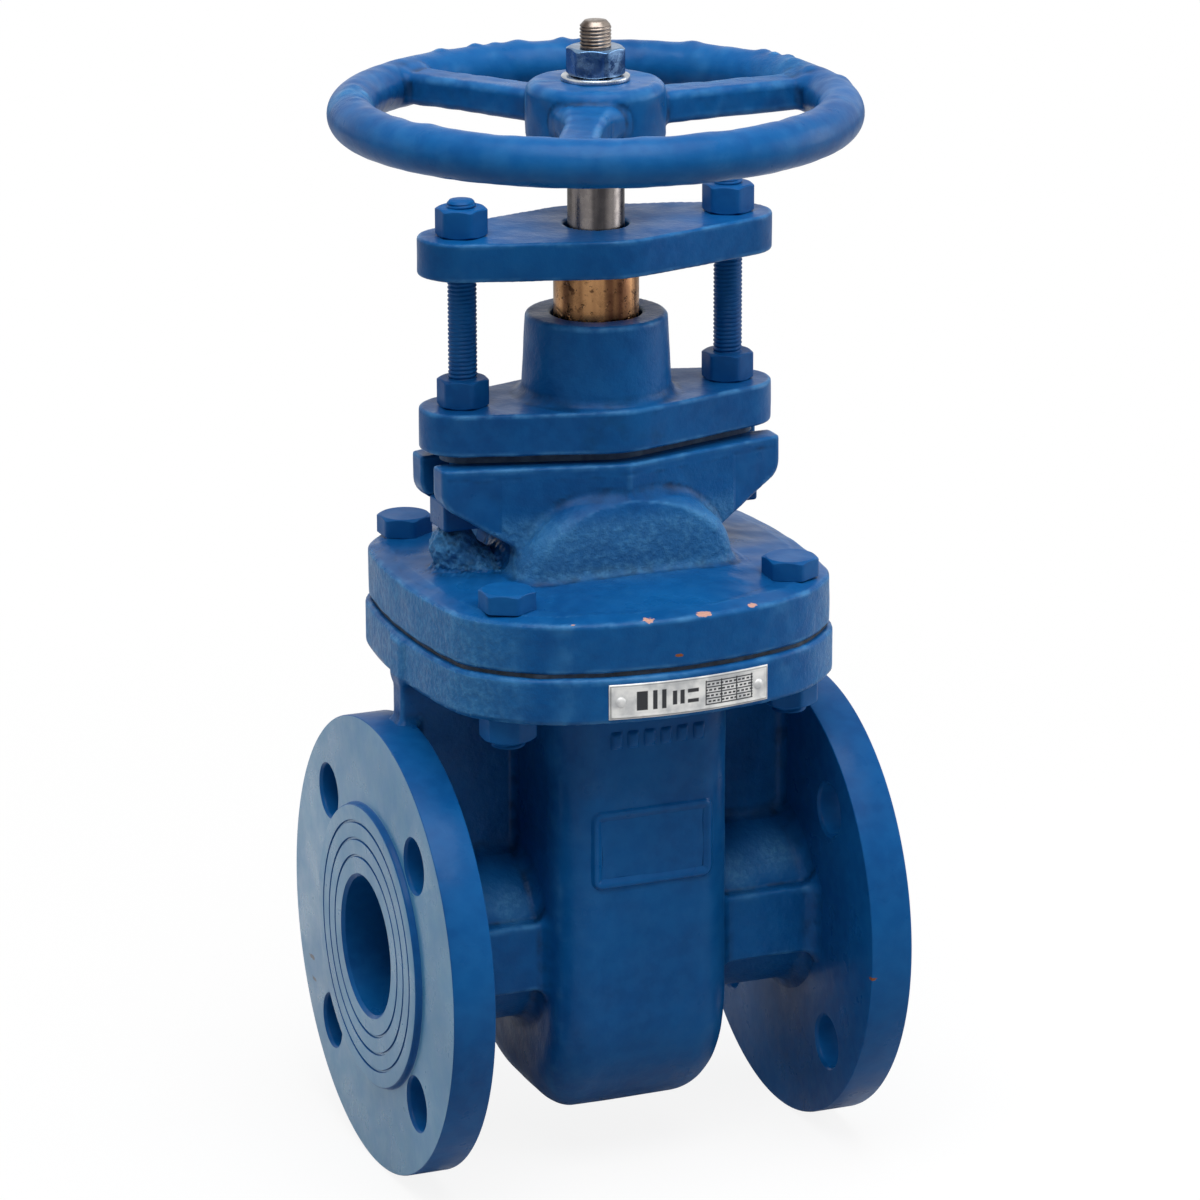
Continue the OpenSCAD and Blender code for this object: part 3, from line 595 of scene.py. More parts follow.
def spoke_form(x, y, z, angle, flare):
    """A bar with soft corners, which may flare where it leaves the hub."""
    along = x * math.cos(angle) + y * math.sin(angle)
    across = -x * math.sin(angle) + y * math.cos(angle)
    near = np.clip(1 - (along - HUB_R + 4) / SPOKE_FLARE_LENGTH, 0, 1) ** 2
    half_w = SPOKE[0] + flare * near
    half_h = SPOKE[1] + 0.25 * flare * near
    corner = SPOKE[2] + 4.2 * near * (flare > 1)
    lift = z - WHEEL_Z
    section = np.hypot(np.maximum(np.abs(across) - half_w + corner, 0),
                       np.maximum(np.abs(lift) - half_h + corner, 0)) - corner
    return np.maximum(section, between(along, 6, WHEEL_R))


def wheel_form(x, y, z):
    r = np.hypot(x, y)
    rim = np.hypot(r - WHEEL_R, z - WHEEL_Z) - RIM_R + 0.05
    turn = np.arctan2(y, x)
    for around, section, size, height in RIM_LUMPS:
        a, b = math.radians(around), math.radians(section)
        cx, cy = WHEEL_R + RIM_R * math.cos(b), RIM_R * math.sin(b)
        gap = (np.mod(turn - a + math.pi, 2 * math.pi) - math.pi) * WHEEL_R
        far = (gap ** 2 + (r - cx) ** 2 + (z - WHEEL_Z - cy) ** 2) / size ** 2
        rim = rim - height * np.exp(-np.minimum(far * 2.2, 30))
    hub = meet(r - HUB_R, between(z, *HUB), 4.0)
    bars = [spoke_form(x, y, z, SPOKE_TURN + math.radians(120 * i), flare)
            for i, flare in enumerate(SPOKE_FLARES)]
    d = join(join(rim, np.minimum(np.minimum(bars[0], bars[1]), bars[2]), 2.6), hub, 1.6)
    inward = np.clip((WHEEL_R + 6 - r) / 6, 0, 1)
    d = d + ripple(x, y, z, 23, 0.16) * inward
    square = np.maximum(np.abs(x), np.abs(y)) - HUB_SQUARE
    return np.maximum(d, -square)


def wheel_rough(x, y, z):
    turn = np.degrees(np.arctan2(y, x))
    # Rough patches on the rim's upper side at both ends; their pale speckle is partly painted glints
    scabs = 0.8 * np.exp(-((turn - 163) / 8) ** 2) + 0.7 * np.exp(-((turn - 10) / 13) ** 2)
    return 0.06 + scabs * np.clip((z - WHEEL_Z + 3) / 6, 0, 1)


# ---- materials

def rgb(red, green, blue):
    """A colour written as it shows on a screen, 0 to 255, as linear light."""
    def linear(v):
        v /= 255
        return v / 12.92 if v <= 0.04045 else ((v + 0.055) / 1.055) ** 2.4
    return (linear(red), linear(green), linear(blue), 1)


class Nodes:
    """Short names for building a material's node tree."""

    def __init__(self, name):
        self.material = bpy.data.materials.new(name)
        self.material.use_nodes = True
        self.tree = self.material.node_tree
        self.shader = self.tree.nodes["Principled BSDF"]
        self.place = self.add("ShaderNodeTexCoord").outputs["Object"]

    def add(self, kind, **settings):
        node = self.tree.nodes.new(kind)
        for key, value in settings.items():
            setattr(node, key, value)
        return node

    def feed(self, socket, value):
        """Links an output to a socket, or sets the socket to a constant."""
        if isinstance(value, bpy.types.NodeSocket):
            self.tree.links.new(value, socket)
        else:
            socket.default_value = value

    def put(self, node, **values):
        for key, value in values.items():
            self.feed(node.inputs[key.replace("_", " ")], value)
        return node

    def noise(self, millimetres, detail=3.0, stretch=(1, 1, 1), rough=0.5, offset=0.0):
        scale = self.put(self.add("ShaderNodeMapping"), Vector=self.place, Location=(offset, offset, offset),
                         Scale=tuple(1000 / millimetres * s for s in stretch))
        node = self.put(self.add("ShaderNodeTexNoise"), Vector=scale.outputs[0], Scale=1, Detail=detail,
                        Roughness=rough)
        return node.outputs["Fac"]

    def remap(self, value, low, high, to_low=0.0, to_high=1.0):
        node = self.add("ShaderNodeMapRange", interpolation_type="SMOOTHSTEP")
        self.put(node, Value=value, From_Min=low, From_Max=high, To_Min=to_low, To_Max=to_high)
        return node.outputs[0]

    def math(self, kind, a, b):
        node = self.add("ShaderNodeMath", operation=kind)
        self.feed(node.inputs[0], a)
        self.feed(node.inputs[1], b)
        return node.outputs[0]

    def mix(self, amount, a, b):
        node = self.add("ShaderNodeMix", data_type="RGBA")
        for name, value in (("Factor", amount), ("A", a), ("B", b)):
            self.feed(node.inputs[name], value)
        return node.outputs["Result"]

    def vector(self, kind, a, b=None):
        node = self.add("ShaderNodeVectorMath", operation=kind)
        self.feed(node.inputs[0], a)
        if b is not None:
            self.feed(node.inputs[1], b)
        return node.outputs["Value" if kind == "LENGTH" else "Vector"]

    def spot(self, centre, millimetres):
        """1 inside a low ragged patch round a point, which is in millimetres about the stem."""
        gap = self.vector("SUBTRACT", self.place, (Vector(centre) + Vector((STEM_X, 0, 0))) / 1000)
        away = self.vector("LENGTH", self.vector("MULTIPLY", gap, (0.7, 0.7, 2.0)))
        ragged = self.math("MULTIPLY", self.noise(1.9, 3), 1.6 * millimetres / 1000)
        reach = self.math("ADD", away, ragged)
        return self.remap(reach, 1.45 * millimetres / 1000, 1.65 * millimetres / 1000, 1.0, 0.0)

    def attribute(self, name):
        return self.add("ShaderNodeAttribute", attribute_name=name).outputs["Fac"]

    def bump(self, height, millimetres, strength=1.0, normal=None):
        node = self.add("ShaderNodeBump")
        self.put(node, Height=height, Distance=millimetres / 1000, Strength=strength)
        if normal is not None:
            self.put(node, Normal=normal)
        return node.outputs[0]


PAINT = rgb(9, 82, 143)
PAINT_DEEP = rgb(9, 68, 125)
PAINT_WORN = rgb(26, 100, 160)
# Paler blue on outer edges: thin paint there, and a painted highlight
PAINT_EDGE = rgb(66, 130, 182)
# Pale speckle of rough-cast places; on the dome it is painted sheen, making its leaning face lighter as if lit
PAINT_PALE = rgb(76, 138, 184)
# Pale blues of the raised flange faces: a painted reflection, the paleness a grazing look at them shows
FACE_SHEEN_DEEP = rgb(62, 119, 157)
FACE_SHEEN_LIGHT = rgb(78, 134, 170)
PRIMER = rgb(196, 150, 136)
RUST = rgb(134, 78, 44)
# Dark navy: painted shade in hollows, and the dark marks on the inlet face
DIRT_AND_SHADE = rgb(8, 22, 42)
# Where paint is off, how large a patch, and what shows
RIM_CHIPS = (((-12, -78, 134), 2.6, PRIMER), ((8, -78, 134), 2.8, PRIMER), ((28, -75, 134), 1.9, PRIMER),
             ((-38, -72.6, 134), 1.2, PRIMER), ((-50, -67.6, 134), 1.0, PRIMER),
             ((52, 66.5, 134), 2.0, PRIMER), ((-1.5, -78.6, 120.5), 1.5, RUST))
FLANGE_CHIPS = (((FLANGE_X - FLANGE_T, -FLANGE_R + 0.8, -7), 1.9, RUST),)
FACE_MARKS = (((-FLANGE_X + RAISED_H, 66, -27), 2.4, DIRT_AND_SHADE), ((-FLANGE_X + RAISED_H, 64, -35), 1.8, DIRT_AND_SHADE))


def enamel(name, chips=(), gloss=0.31, shine=0.1, deep=PAINT_DEEP, light=PAINT):
    """Blue enamel over cast iron: pooled places, outer edges paler with thin paint and a painted highlight,
    hollows darker with painted shade, a sand-cast skin whose pale speckle is partly painted sheen, chips at given
    places.
    """
    n = Nodes(name)
    broad = n.remap(n.noise(46, 3), 0.3, 0.7)
    fine = n.remap(n.noise(5.5, 4), 0.35, 0.65)
    colour = n.mix(broad, deep, light)
    colour = n.mix(n.math("MULTIPLY", fine, 0.22), colour, PAINT_WORN)
    edge = n.attribute("edge")
    # Outer edges paler: thin paint and a painted highlight
    edge_wear_and_highlight = n.math("MULTIPLY", edge, n.remap(n.noise(9, 3, offset=4.1), 0.4, 0.7, 0.05, 0.7))
    colour = n.mix(edge_wear_and_highlight, colour, PAINT_EDGE)
    hollow = n.attribute("hollow")
    # Hollows darkened with painted shade
    hollow_shade = n.math("MULTIPLY", hollow, n.remap(n.noise(7, 4, offset=2.3), 0.35, 0.7, 0.15, 0.7))
    colour = n.mix(hollow_shade, colour, DIRT_AND_SHADE)
    cast = n.attribute("rough_cast")
    grains = n.noise(2.6, 4, rough=0.62)
    # Rough-cast places get pale speckle: sand-cast skin, and painted sheen on the dome and the wheel patches
    crust_and_sheen = n.math("MULTIPLY", n.remap(cast, 0.4, 1.0), n.remap(grains, 0.42, 0.7, 0.26, 0.58))
    colour = n.mix(crust_and_sheen, colour, PAINT_PALE)
    for centre, size, under in chips:
        colour = n.mix(n.spot(centre, size), colour, under)
    rough = n.math("ADD", n.remap(n.noise(14, 3, offset=1.1), 0.3, 0.7, gloss - 0.05, gloss + 0.09),
                   n.math("MULTIPLY", cast, 0.10))
    sand = n.math("MULTIPLY", grains, n.math("ADD", cast, 0.06))
    peel = n.bump(n.noise(7.5, 2, offset=3.0), 0.35, 0.5)
    n.put(n.shader, Base_Color=colour, Roughness=rough, Normal=n.bump(sand, 0.75, 1.0, peel), IOR=1.5,
          Specular_IOR_Level=shine, Coat_Weight=0.0)
    return n.material


def bare_metal(name, light, dark, roughness, grain, pits=0.0, stain=None, painted_streaks=0.0):
    """Turned or plated metal with fine tool marks and darker patches, and where asked light and dark streaks
    along the axis that are painted reflection.
    """
    n = Nodes(name)
    patches = n.remap(n.noise(8, 4), 0.35, 0.68)
    if painted_streaks:
        # Light and dark streaks along the axis: painted reflection bands
        reflection_streaks = n.remap(n.noise(6.5, 2, stretch=(1, 1, 0.03), offset=2.0), 0.36, 0.64)
        patches = n.math("ADD", n.math("MULTIPLY", patches, 1 - painted_streaks), n.math("MULTIPLY", reflection_streaks, painted_streaks))
    colour = n.mix(patches, light, dark)
    if stain:
        spots = n.remap(n.noise(4.2, 4, offset=5.5), 0.60, 0.70, 0.0, 0.85)
        colour = n.mix(spots, colour, stain)
    rough = n.remap(n.noise(3, 3, offset=9), 0.3, 0.7, roughness - 0.06, roughness + 0.1)
    marks = n.bump(n.noise(1.0, 2, stretch=grain), 0.05, 0.6)
    if pits:
        spots = n.remap(n.noise(2.1, 2, offset=6), 0.62, 0.7)
        marks = n.bump(n.math("MULTIPLY", spots, -1.0), pits, 1.0, marks)
    n.put(n.shader, Base_Color=colour, Metallic=1, Roughness=rough, Normal=marks)
    return n.material


def plain(name, colour, other, roughness, millimetres, height):
    """A matt surface with a grain of its own: sheet gasket, packing, raw cast iron."""
    n = Nodes(name)
    patches = n.remap(n.noise(millimetres * 4, 4), 0.35, 0.65)
    rough = n.remap(n.noise(millimetres * 2, 3, offset=2), 0.3, 0.7, roughness - 0.08, roughness + 0.08)
    n.put(n.shader, Base_Color=n.mix(patches, colour, other), Roughness=rough,
          Normal=n.bump(n.noise(millimetres, 4), height, 1.0))
    return n.material


def plate_metal(name):
    """Pale stamped sheet, with dark colour in its stamped marks."""
    n = Nodes(name)
    base = n.mix(n.remap(n.noise(6, 4), 0.35, 0.7), rgb(232, 232, 230), rgb(186, 188, 190))
    n.put(n.shader, Base_Color=n.mix(n.attribute("ink"), base, rgb(34, 36, 42)), Metallic=0.25,
          Roughness=n.remap(n.noise(3, 3, offset=3), 0.3, 0.7, 0.36, 0.52),
          Normal=n.bump(n.noise(1.2, 3), 0.05, 0.7))
    return n.material


BLUE = enamel("blue_enamel_castings")
BLUE_WORN = enamel("blue_enamel_bonnet", chips=RIM_CHIPS)
BLUE_RIM = enamel("blue_enamel_pipe_flanges", chips=FLANGE_CHIPS)
BLUE_FACE_SHEEN = enamel("blue_enamel_flange_faces_painted_sheen", chips=FACE_MARKS, gloss=0.3, shine=0.5, deep=FACE_SHEEN_DEEP,
                   light=FACE_SHEEN_LIGHT)
BLUE_SMALL = enamel("blue_enamel_fasteners", gloss=0.42)
STEEL = bare_metal("turned_stem_steel", rgb(128, 122, 120), rgb(62, 60, 62), 0.26, (3, 3, 0.05), painted_streaks=1.0)
TIP_STEEL = bare_metal("stem_tip_steel", rgb(146, 136, 128), rgb(76, 66, 60), 0.34, (1, 1, 1),
                       stain=rgb(82, 60, 48))
ZINC = bare_metal("zinc_plated_steel", rgb(196, 200, 204), rgb(132, 144, 158), 0.24, (1, 1, 1))
NUT_METAL = bare_metal("overpainted_zinc", rgb(112, 142, 174), rgb(58, 94, 134), 0.22, (1, 1, 1))
BRONZE = bare_metal("turned_bronze", rgb(178, 134, 92), rgb(84, 55, 41), 0.27, (2.6, 2.6, 0.05), pits=0.25,
                    stain=rgb(58, 38, 28), painted_streaks=0.9)
GASKET = plain("gasket_sheet", rgb(30, 38, 48), rgb(46, 60, 78), 0.8, 1.2, 0.10)
BOX_GASKET = plain("painted_gasket_sheet", rgb(58, 84, 112), rgb(36, 60, 92), 0.7, 1.4, 0.15)
IRON = plain("raw_cast_iron", rgb(74, 74, 76), rgb(52, 52, 56), 0.55, 1.6, 0.2)
PLATE = plate_metal("stamped_plate")
# Material, body and slot of what is cast and doesn't move, and of its bolts, studs and nuts
CAST = (BLUE, BODY, "blue_enamel")
FASTENER = (BLUE_SMALL, BODY, "blue_enamel")


# ---- the body

def cut_holes(obj, cutters):
    """Cuts each cutter out of a piece, and leaves a plain mesh."""
    for cutter in cutters:
        mod = obj.modifiers.new("hole", "BOOLEAN")
        mod.operation = "DIFFERENCE"
        mod.solver = "EXACT"
        mod.object = cutter
    bpy.context.view_layer.update()
    depsgraph = bpy.context.evaluated_depsgraph_get()
    result = bpy.data.meshes.new_from_object(obj.evaluated_get(depsgraph))
    obj.modifiers.clear()
    obj.data = result
    for cutter in cutters:
        bpy.data.objects.remove(cutter)
    result.set_sharp_from_angle(angle=math.radians(32))


def face_profile():
    """Half section of a pipe flange: (radius, distance from the raised face)."""
    bore = BORE_R - 0.05
    line = [(bore, 17.0), (bore, 1.2), (bore + 1.2, 0)]
    for r in GROOVES:
        line += [(r - 0.55, 0), (r - 0.3, 0.6), (r + 0.3, 0.6), (r + 0.55, 0)]
    edge = soften([(GROOVES[-1] + 0.55, 0), (RAISED_R, 0), (RAISED_R + 0.4, RAISED_H), (FLANGE_R, RAISED_H),
                   (FLANGE_R, FLANGE_T), (NECK_R + 4, FLANGE_T)], 0.7, 3)
    return line + edge + [(BORE_R + 5, 17.6)]


def pipe_flange(name, side):
    profile = [(r, side * (FLANGE_X - x)) for r, x in face_profile()]
    if side < 0:
        profile = profile[::-1]
    verts, faces = turned(profile[::-1], 160, closed=True, axis="X")
    obj = piece(name, verts, faces, BLUE_RIM, BODY, "blue_enamel", "valve_body", sharp=28)
    holes = []
    for i in range(4):
        a = math.radians(45 + 90 * i)
        lip = soften([(HOLE_R + 3, -3.0), (HOLE_R + 0.9, RAISED_H), (HOLE_R, RAISED_H + 0.9),
                      (HOLE_R, FLANGE_T - 0.9), (HOLE_R + 0.9, FLANGE_T), (HOLE_R + 3, FLANGE_T + 3)], 0.5, 2)
        rod = [(r, side * (FLANGE_X - x)) for r, x in lip]
        at = (0, HOLE_CIRCLE_R * math.cos(a), HOLE_CIRCLE_R * math.sin(a))
        points, quads = turned(rod if side < 0 else rod[::-1], 48, axis="X", centre=at)
        mesh = bpy.data.meshes.new("hole")
        mesh.from_pydata(((points + (STEM_X, 0, 0)) / 1000).tolist(), [], quads)
        holes.append(add_object("hole", mesh))
    cut_holes(obj, holes)
    # The raised faces take the pale enamel with its painted reflection
    obj.data.materials.append(BLUE_FACE_SHEEN)
    for polygon in obj.data.polygons:
        outward = polygon.normal.x * side > 0.8
        if outward and abs(polygon.center.x * 1000 - STEM_X) > FLANGE_X - RAISED_H - 0.3:
            polygon.material_index = 1


def chamber_front(x):
    """How far back from the flat the chamber's front lies, out on its rounded corners."""
    past = np.clip(np.abs(x) - CHAMBER[0] + CHAMBER_CORNER, 0, CHAMBER_CORNER)
    return -CHAMBER[1] + CHAMBER_CORNER - np.sqrt(CHAMBER_CORNER ** 2 - past ** 2)


def ridge_frame(name, middle, half_w, half_h, width, height, corner):
    """A low ridge round a rectangle on the chamber's front, steep outside and easy inside."""
    path = []
    for cx, cz, start in ((1, 1, 0), (-1, 1, 90), (-1, -1, 180), (1, -1, 270)):
        for i in range(7):
            a = math.radians(start + 15 * i)
            path.append(((half_w - corner) * cx, (half_h - corner) * cz, math.cos(a), math.sin(a)))
    steps = 14
    verts = []
    for px, pz, ux, uz in path:
        for k in range(steps + 1):
            t = k / steps
            out = corner + (t - 0.5) * width
            rise, fall = min(t / 0.62, 1), min((1 - t) / 0.26, 1)
            lift = height * (rise * rise * (3 - 2 * rise)) * (fall * fall * (3 - 2 * fall)) - 0.12
            x = middle[0] + px + ux * out
            verts.append((x, chamber_front(x) - lift, middle[1] + pz + uz * out))
    row, count = steps + 1, len(path)
    faces = []
    for i in range(count):
        for k in range(steps):
            j = (i + 1) % count
            faces.append((i * row + k, i * row + k + 1, j * row + k + 1, j * row + k))
    piece(name, verts, faces, *CAST, "valve_body")


def cast_pips(name, centres, y, half_w, half_h, height):
    """Small raised pips cast on the chamber's front."""
    verts, faces = [], []
    steps = 8
    for cx, cz in centres:
        start = len(verts)
        for i in range(steps + 1):
            for k in range(steps + 1):
                u, v = i / steps * 2 - 1, k / steps * 2 - 1
                swell = (1 - u ** 4) * (1 - v ** 4)
                verts.append((cx + u * half_w, y - height * swell ** 0.8 + 0.15, cz + v * half_h))
        for i in range(steps):
            for k in range(steps):
                a = start + i * (steps + 1) + k
                faces.append((a, a + steps + 1, a + steps + 2, a + 1))
    piece(name, verts, faces, *CAST, "valve_body")


def build_body():
    casting("body_casting", body_form, (-77, -80, -71), (77, 80, 115), BODY_CELL, *CAST, "valve_body", body_rough,
            keep=outside_flanges)
    pipe_flange("inlet_pipe_flange", -1)
    pipe_flange("outlet_pipe_flange", 1)
    ridge_frame("chamber_raised_frame", (1.1, 42.2), 21.1, 12.4, 4.6, 1.3, 1.6)
    cast_pips("chamber_cast_pips", [(-12.5 + 6.2 * i, 82.0) for i in range(6)], -CHAMBER[1], 2.3, 3.3, 1.4)


# ---- plate, bolts, studs

BOLT_HEX = 18            # width across the flats
BOLT_THREAD = (6, 1.75)  # radius and pitch
STUD_HEX = 16.5
STUD_THREAD = (5.1, 1.5)
STUD_HEADS = (("left", -1, (10.25, 7.5)), ("right", 1, (7.5, 10.25)))    # which side, half width, half depth
TIP_HEX = 18.5
TIP_THREAD = (5.5, 1.25)
PLATE_X = (-26.75, 32.75)
PLATE_Z = (99.8, 112.3)


PLATE_W, PLATE_H = PLATE_X[1] - PLATE_X[0], PLATE_Z[1] - PLATE_Z[0]
PLATE_GRID = (260, 56)   # points along and across the plate


def from_plate_edge(u, v):
    return np.minimum(np.minimum(u, PLATE_W - u), np.minimum(v, PLATE_H - v))


def plate_marks(u, v):
    """Where the rating plate is stamped and inked: plain bars and a ruled panel, no lettering."""
    ink = np.zeros_like(u)
    bars = ((9.5, 13.5, 2.8, 9.7), (15.2, 16.8, 2.8, 9.7), (18.6, 20.2, 2.8, 9.7), (22.4, 24.0, 3.8, 8.8),
            (25.2, 26.8, 3.8, 8.8), (28.0, 32.0, 3.8, 5.2), (28.0, 32.0, 7.4, 8.8))
    for a, b, c, d in bars:
        ink = np.maximum(ink, (u > a) & (u < b) & (v > c) & (v < d))
    panel = (u > 34.6) & (u < 53.2) & (v > 1.9) & (v < 10.7)
    row, column = np.mod(v - 1.9, 2.05), np.mod(u - 34.6, 6.0)
    rules = (row < 0.42) | (column < 0.42)
    dashes = (row > 0.85) & (row < 1.65) & (np.mod(u + 0.7 * np.floor((v - 1.9) / 2.05), 1.7) < 1.1)
    ink = np.maximum(ink, panel & (rules | dashes))
    edge = from_plate_edge(u, v)
    return np.maximum(ink, 0.55 * ((edge > 0.35) & (edge < 0.75)))


def rating_plate():
    """The curved stamped plate on the body flange, with a pressed border."""
    radius = OVAL_FRONT_R
    centre_y = OVAL_FRONT_R - OVAL_HALF[1]
    nu, nv = PLATE_GRID
    u, v = np.meshgrid(np.linspace(0, PLATE_W, nu), np.linspace(0, PLATE_H, nv), indexing="ij")
    edge = from_plate_edge(u, v)
    ink = plate_marks(u, v)
    lift = 0.62 + 0.16 * np.exp(-((edge - 0.9) / 0.45) ** 2) - 0.10 * ink
    lift = np.where(edge < 0.3, lift - (0.3 - edge) * 0.9, lift)
    lean = np.arcsin((PLATE_X[0] + u) / radius)
    sheets = [np.stack((r * np.sin(lean), centre_y - r * np.cos(lean), PLATE_Z[0] + v), -1).reshape(-1, 3)
              for r in (radius + lift, np.full_like(u, radius + 0.02))]
    verts = np.concatenate(sheets)
    grid = np.arange(nu * nv).reshape(nu, nv)
    quads = np.stack((grid[:-1, :-1], grid[1:, :-1], grid[1:, 1:], grid[:-1, 1:]), -1).reshape(-1, 4)
    back = quads[:, ::-1] + nu * nv
    border = np.concatenate((grid[:, 0], grid[-1, 1:], grid[-2::-1, -1], grid[0, -2:0:-1]))
    sides = [(a + nu * nv, b + nu * nv, b, a) for a, b in zip(border, np.roll(border, -1))]
    obj = piece("rating_plate_stamped", verts, quads.tolist() + back.tolist() + sides, PLATE, BODY, "plate",
                "rating_plate", sharp=40)
    paint(obj, "ink", np.concatenate((ink.reshape(-1), np.zeros(nu * nv))))
    for side, x in (("left", PLATE_X[0] + 4), ("right", PLATE_X[1] - 4)):
        dome = soften([(1.9, -0.3), (1.85, 0.25), (1.2, 0.75), (0.3, 0.95)], 0.4, 3)
        points, faces = turned(dome, 24)
        a = math.asin(x / radius)
        out = np.array((math.sin(a), -math.cos(a), 0))
        across = np.array((math.cos(a), math.sin(a), 0))
        hub = np.array((0, centre_y, (PLATE_Z[0] + PLATE_Z[1]) / 2)) + out * (radius + 0.5)
        placed = hub + points[:, :1] * across + points[:, 1:2] * (0, 0, 1) + points[:, 2:] * out
        piece("plate_rivet_" + side, placed, [f[::-1] for f in faces], PLATE, BODY, "plate",
              "plate_rivets", sharp=40)


def joint_bolts():
    """The four bolts through the oval flanges, their nuts and their threaded ends."""
    for place in ("front_left", "front_right", "back_left", "back_right"):
        low, high = span("bonnet_bolt_" + place)
        centre = ((low[0] + high[0]) / 2, (low[1] + high[1]) / 2)
        look = (centre, *FASTENER)
        hexagon("bolt_head_" + place, BOLT_HEX, BONNET_FLANGE[1], high[2], *look, "bonnet_bolt_" + place)
        threaded("bolt_thread_" + place, *BOLT_THREAD, low[2], BONNET_FLANGE[1] - 2, *look,
                 "bonnet_bolt_" + place, depth=0.7, tip=-30)
        nut_low, nut_high = span("bonnet_nut_" + place)
        hexagon("bolt_nut_" + place, BOLT_HEX, nut_low[2], nut_high[2], *look, "bonnet_nut_" + place,
                bottom_cut=True)


def gland_studs():
    """Two studs with T heads under the lugs, each with a nut on the stuffing box and one on the gland."""
    for side, sign, (half_x, half_y) in STUD_HEADS:
        node = "gland_stud_" + side
        low, high = span(node)
        centre = (sign * STUD_X, 0)
        look = (centre, *FASTENER)
        threaded("stud_thread_" + side, *STUD_THREAD, SLAB_TOP - 15, high[2], *look, node, depth=0.5)
        head_low, head_high = low[2], SLAB_TOP - 14
        xs, ys = (centre[0] - half_x, centre[0] + half_x), (-half_y, half_y)
        corners = [(x, y, z) for x in xs for y in ys for z in (head_low, head_high)]
        faces = [(0, 1, 3, 2), (4, 6, 7, 5), (0, 4, 5, 1), (2, 3, 7, 6), (0, 2, 6, 4), (1, 5, 7, 3)]
        head = piece("stud_head_" + side, corners, faces, *CAST, node)
        bevel(head, 1.1, 3, 30)
        for name, label in (("stuffing_box_nut_", "box_nut_"), ("gland_nut_", "top_nut_")):
            nut_low, nut_high = span(name + side)
            hexagon(label + side, STUD_HEX, nut_low[2], nut_high[2], *look, name + side, bottom_cut=True)


# ---- stem, gland and wheel

COLLAR = (SLAB_TOP - 5.7, SLAB_TOP + 3.2)    # the stem's collar, from and to


def build_gland():
    casting("stuffing_box_casting", box_form, (-66, -31, 178), (66, 31, 225), SMALL_CELL, *CAST,
            "stuffing_box", box_rough)
    casting("gland_plate_casting", gland_form, (-66, -31, 240), (66, 31, 257), SMALL_CELL, *CAST,
            "gland_plate", gland_rough)
    bush = soften([(10.05, BOX_TOP - 20), (15, BOX_TOP - 20), (15, GLAND[0]), (10.05, GLAND[0])], 0.3, 2)
    verts, faces = turned(bush, 96)
    piece("gland_bush_turned", verts, faces, BRONZE, BODY, "bronze", "gland_bush", sharp=40)


def build_stem():
    low, high = span("stem")
    nut_low, nut_high = span("handwheel_nut")
    shaft = [(8.8, low[2]), (8.8, COLLAR[0]), (15, COLLAR[0]), (15, COLLAR[1]), (10, COLLAR[1]),
             (10, HUB[0] + 2), (6.9, HUB[0] + 3), (6.9, HUB[1] - 0.5)]
    verts, faces = turned(soften(shaft, 0.5, 2), 96)
    piece("stem_shaft", verts, faces, STEEL, WHEEL, "stem_steel", "stem", sharp=40)
    threaded("stem_thread_end", *TIP_THREAD, HUB[1] - 1, high[2], (0, 0), TIP_STEEL, WHEEL, "stem_steel",
             "stem", depth=0.5, tip=1.6)
    hexagon("wheel_nut_hex", TIP_HEX, nut_low[2], nut_high[2], (0, 0), NUT_METAL, WHEEL, "zinc_plate",
            "handwheel_nut", bottom_cut=True)
    wash_low, wash_high = span("handwheel_washer")
    ring = soften([(5.6, wash_low[2]), (12, wash_low[2]), (12, wash_high[2]), (5.6, wash_high[2])], 0.5, 3)
    verts, faces = turned(ring, 64)
    piece("wheel_washer_flat", verts, faces, ZINC, WHEEL, "zinc_plate", "handwheel_washer", sharp=40)


def dress_nodes():
    """Materials for the CAD nodes that keep their own shape."""
    looks = {"seat_ring_inlet": BRONZE, "seat_ring_outlet": BRONZE, "gate_nut": BRONZE, "gate_wedge": IRON,
             "joint_gasket": GASKET, "stuffing_box_gasket": BOX_GASKET, "stem_packing": GASKET}
    for name, material in looks.items():
        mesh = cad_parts[name].data
        mesh.materials.clear()
        mesh.materials.append(material)


# ---- studio

CAMERA_TURN = math.radians(-22.02)
CAMERA_RISE = math.radians(16.84)
CAMERA_ROLL = -0.0025156
CAMERA_AIM = (0.0901577, 0, 0.118028)
CAMERA_DISTANCE = 1.98332
CAMERA_LENS = 167.66
FLOOR_Z = -0.0826
FLOOR_SIZE = 12
FLOOR_PALE = 0.9         # how pale the floor is where it is seen
FLOOR_BOUNCE = 0.42      # and to the light that it throws back
FLOOR_WHITE = 0.88       # how much of the floor seen is plain white, with no shadow on it
FLOOR_FADE = (0.3, 0.7)  # between these distances from the object it becomes plain white
SKY_LIGHT = 0.3
SEEN_RAYS = ("Is Camera Ray", "Is Glossy Ray", "Is Transmission Ray")


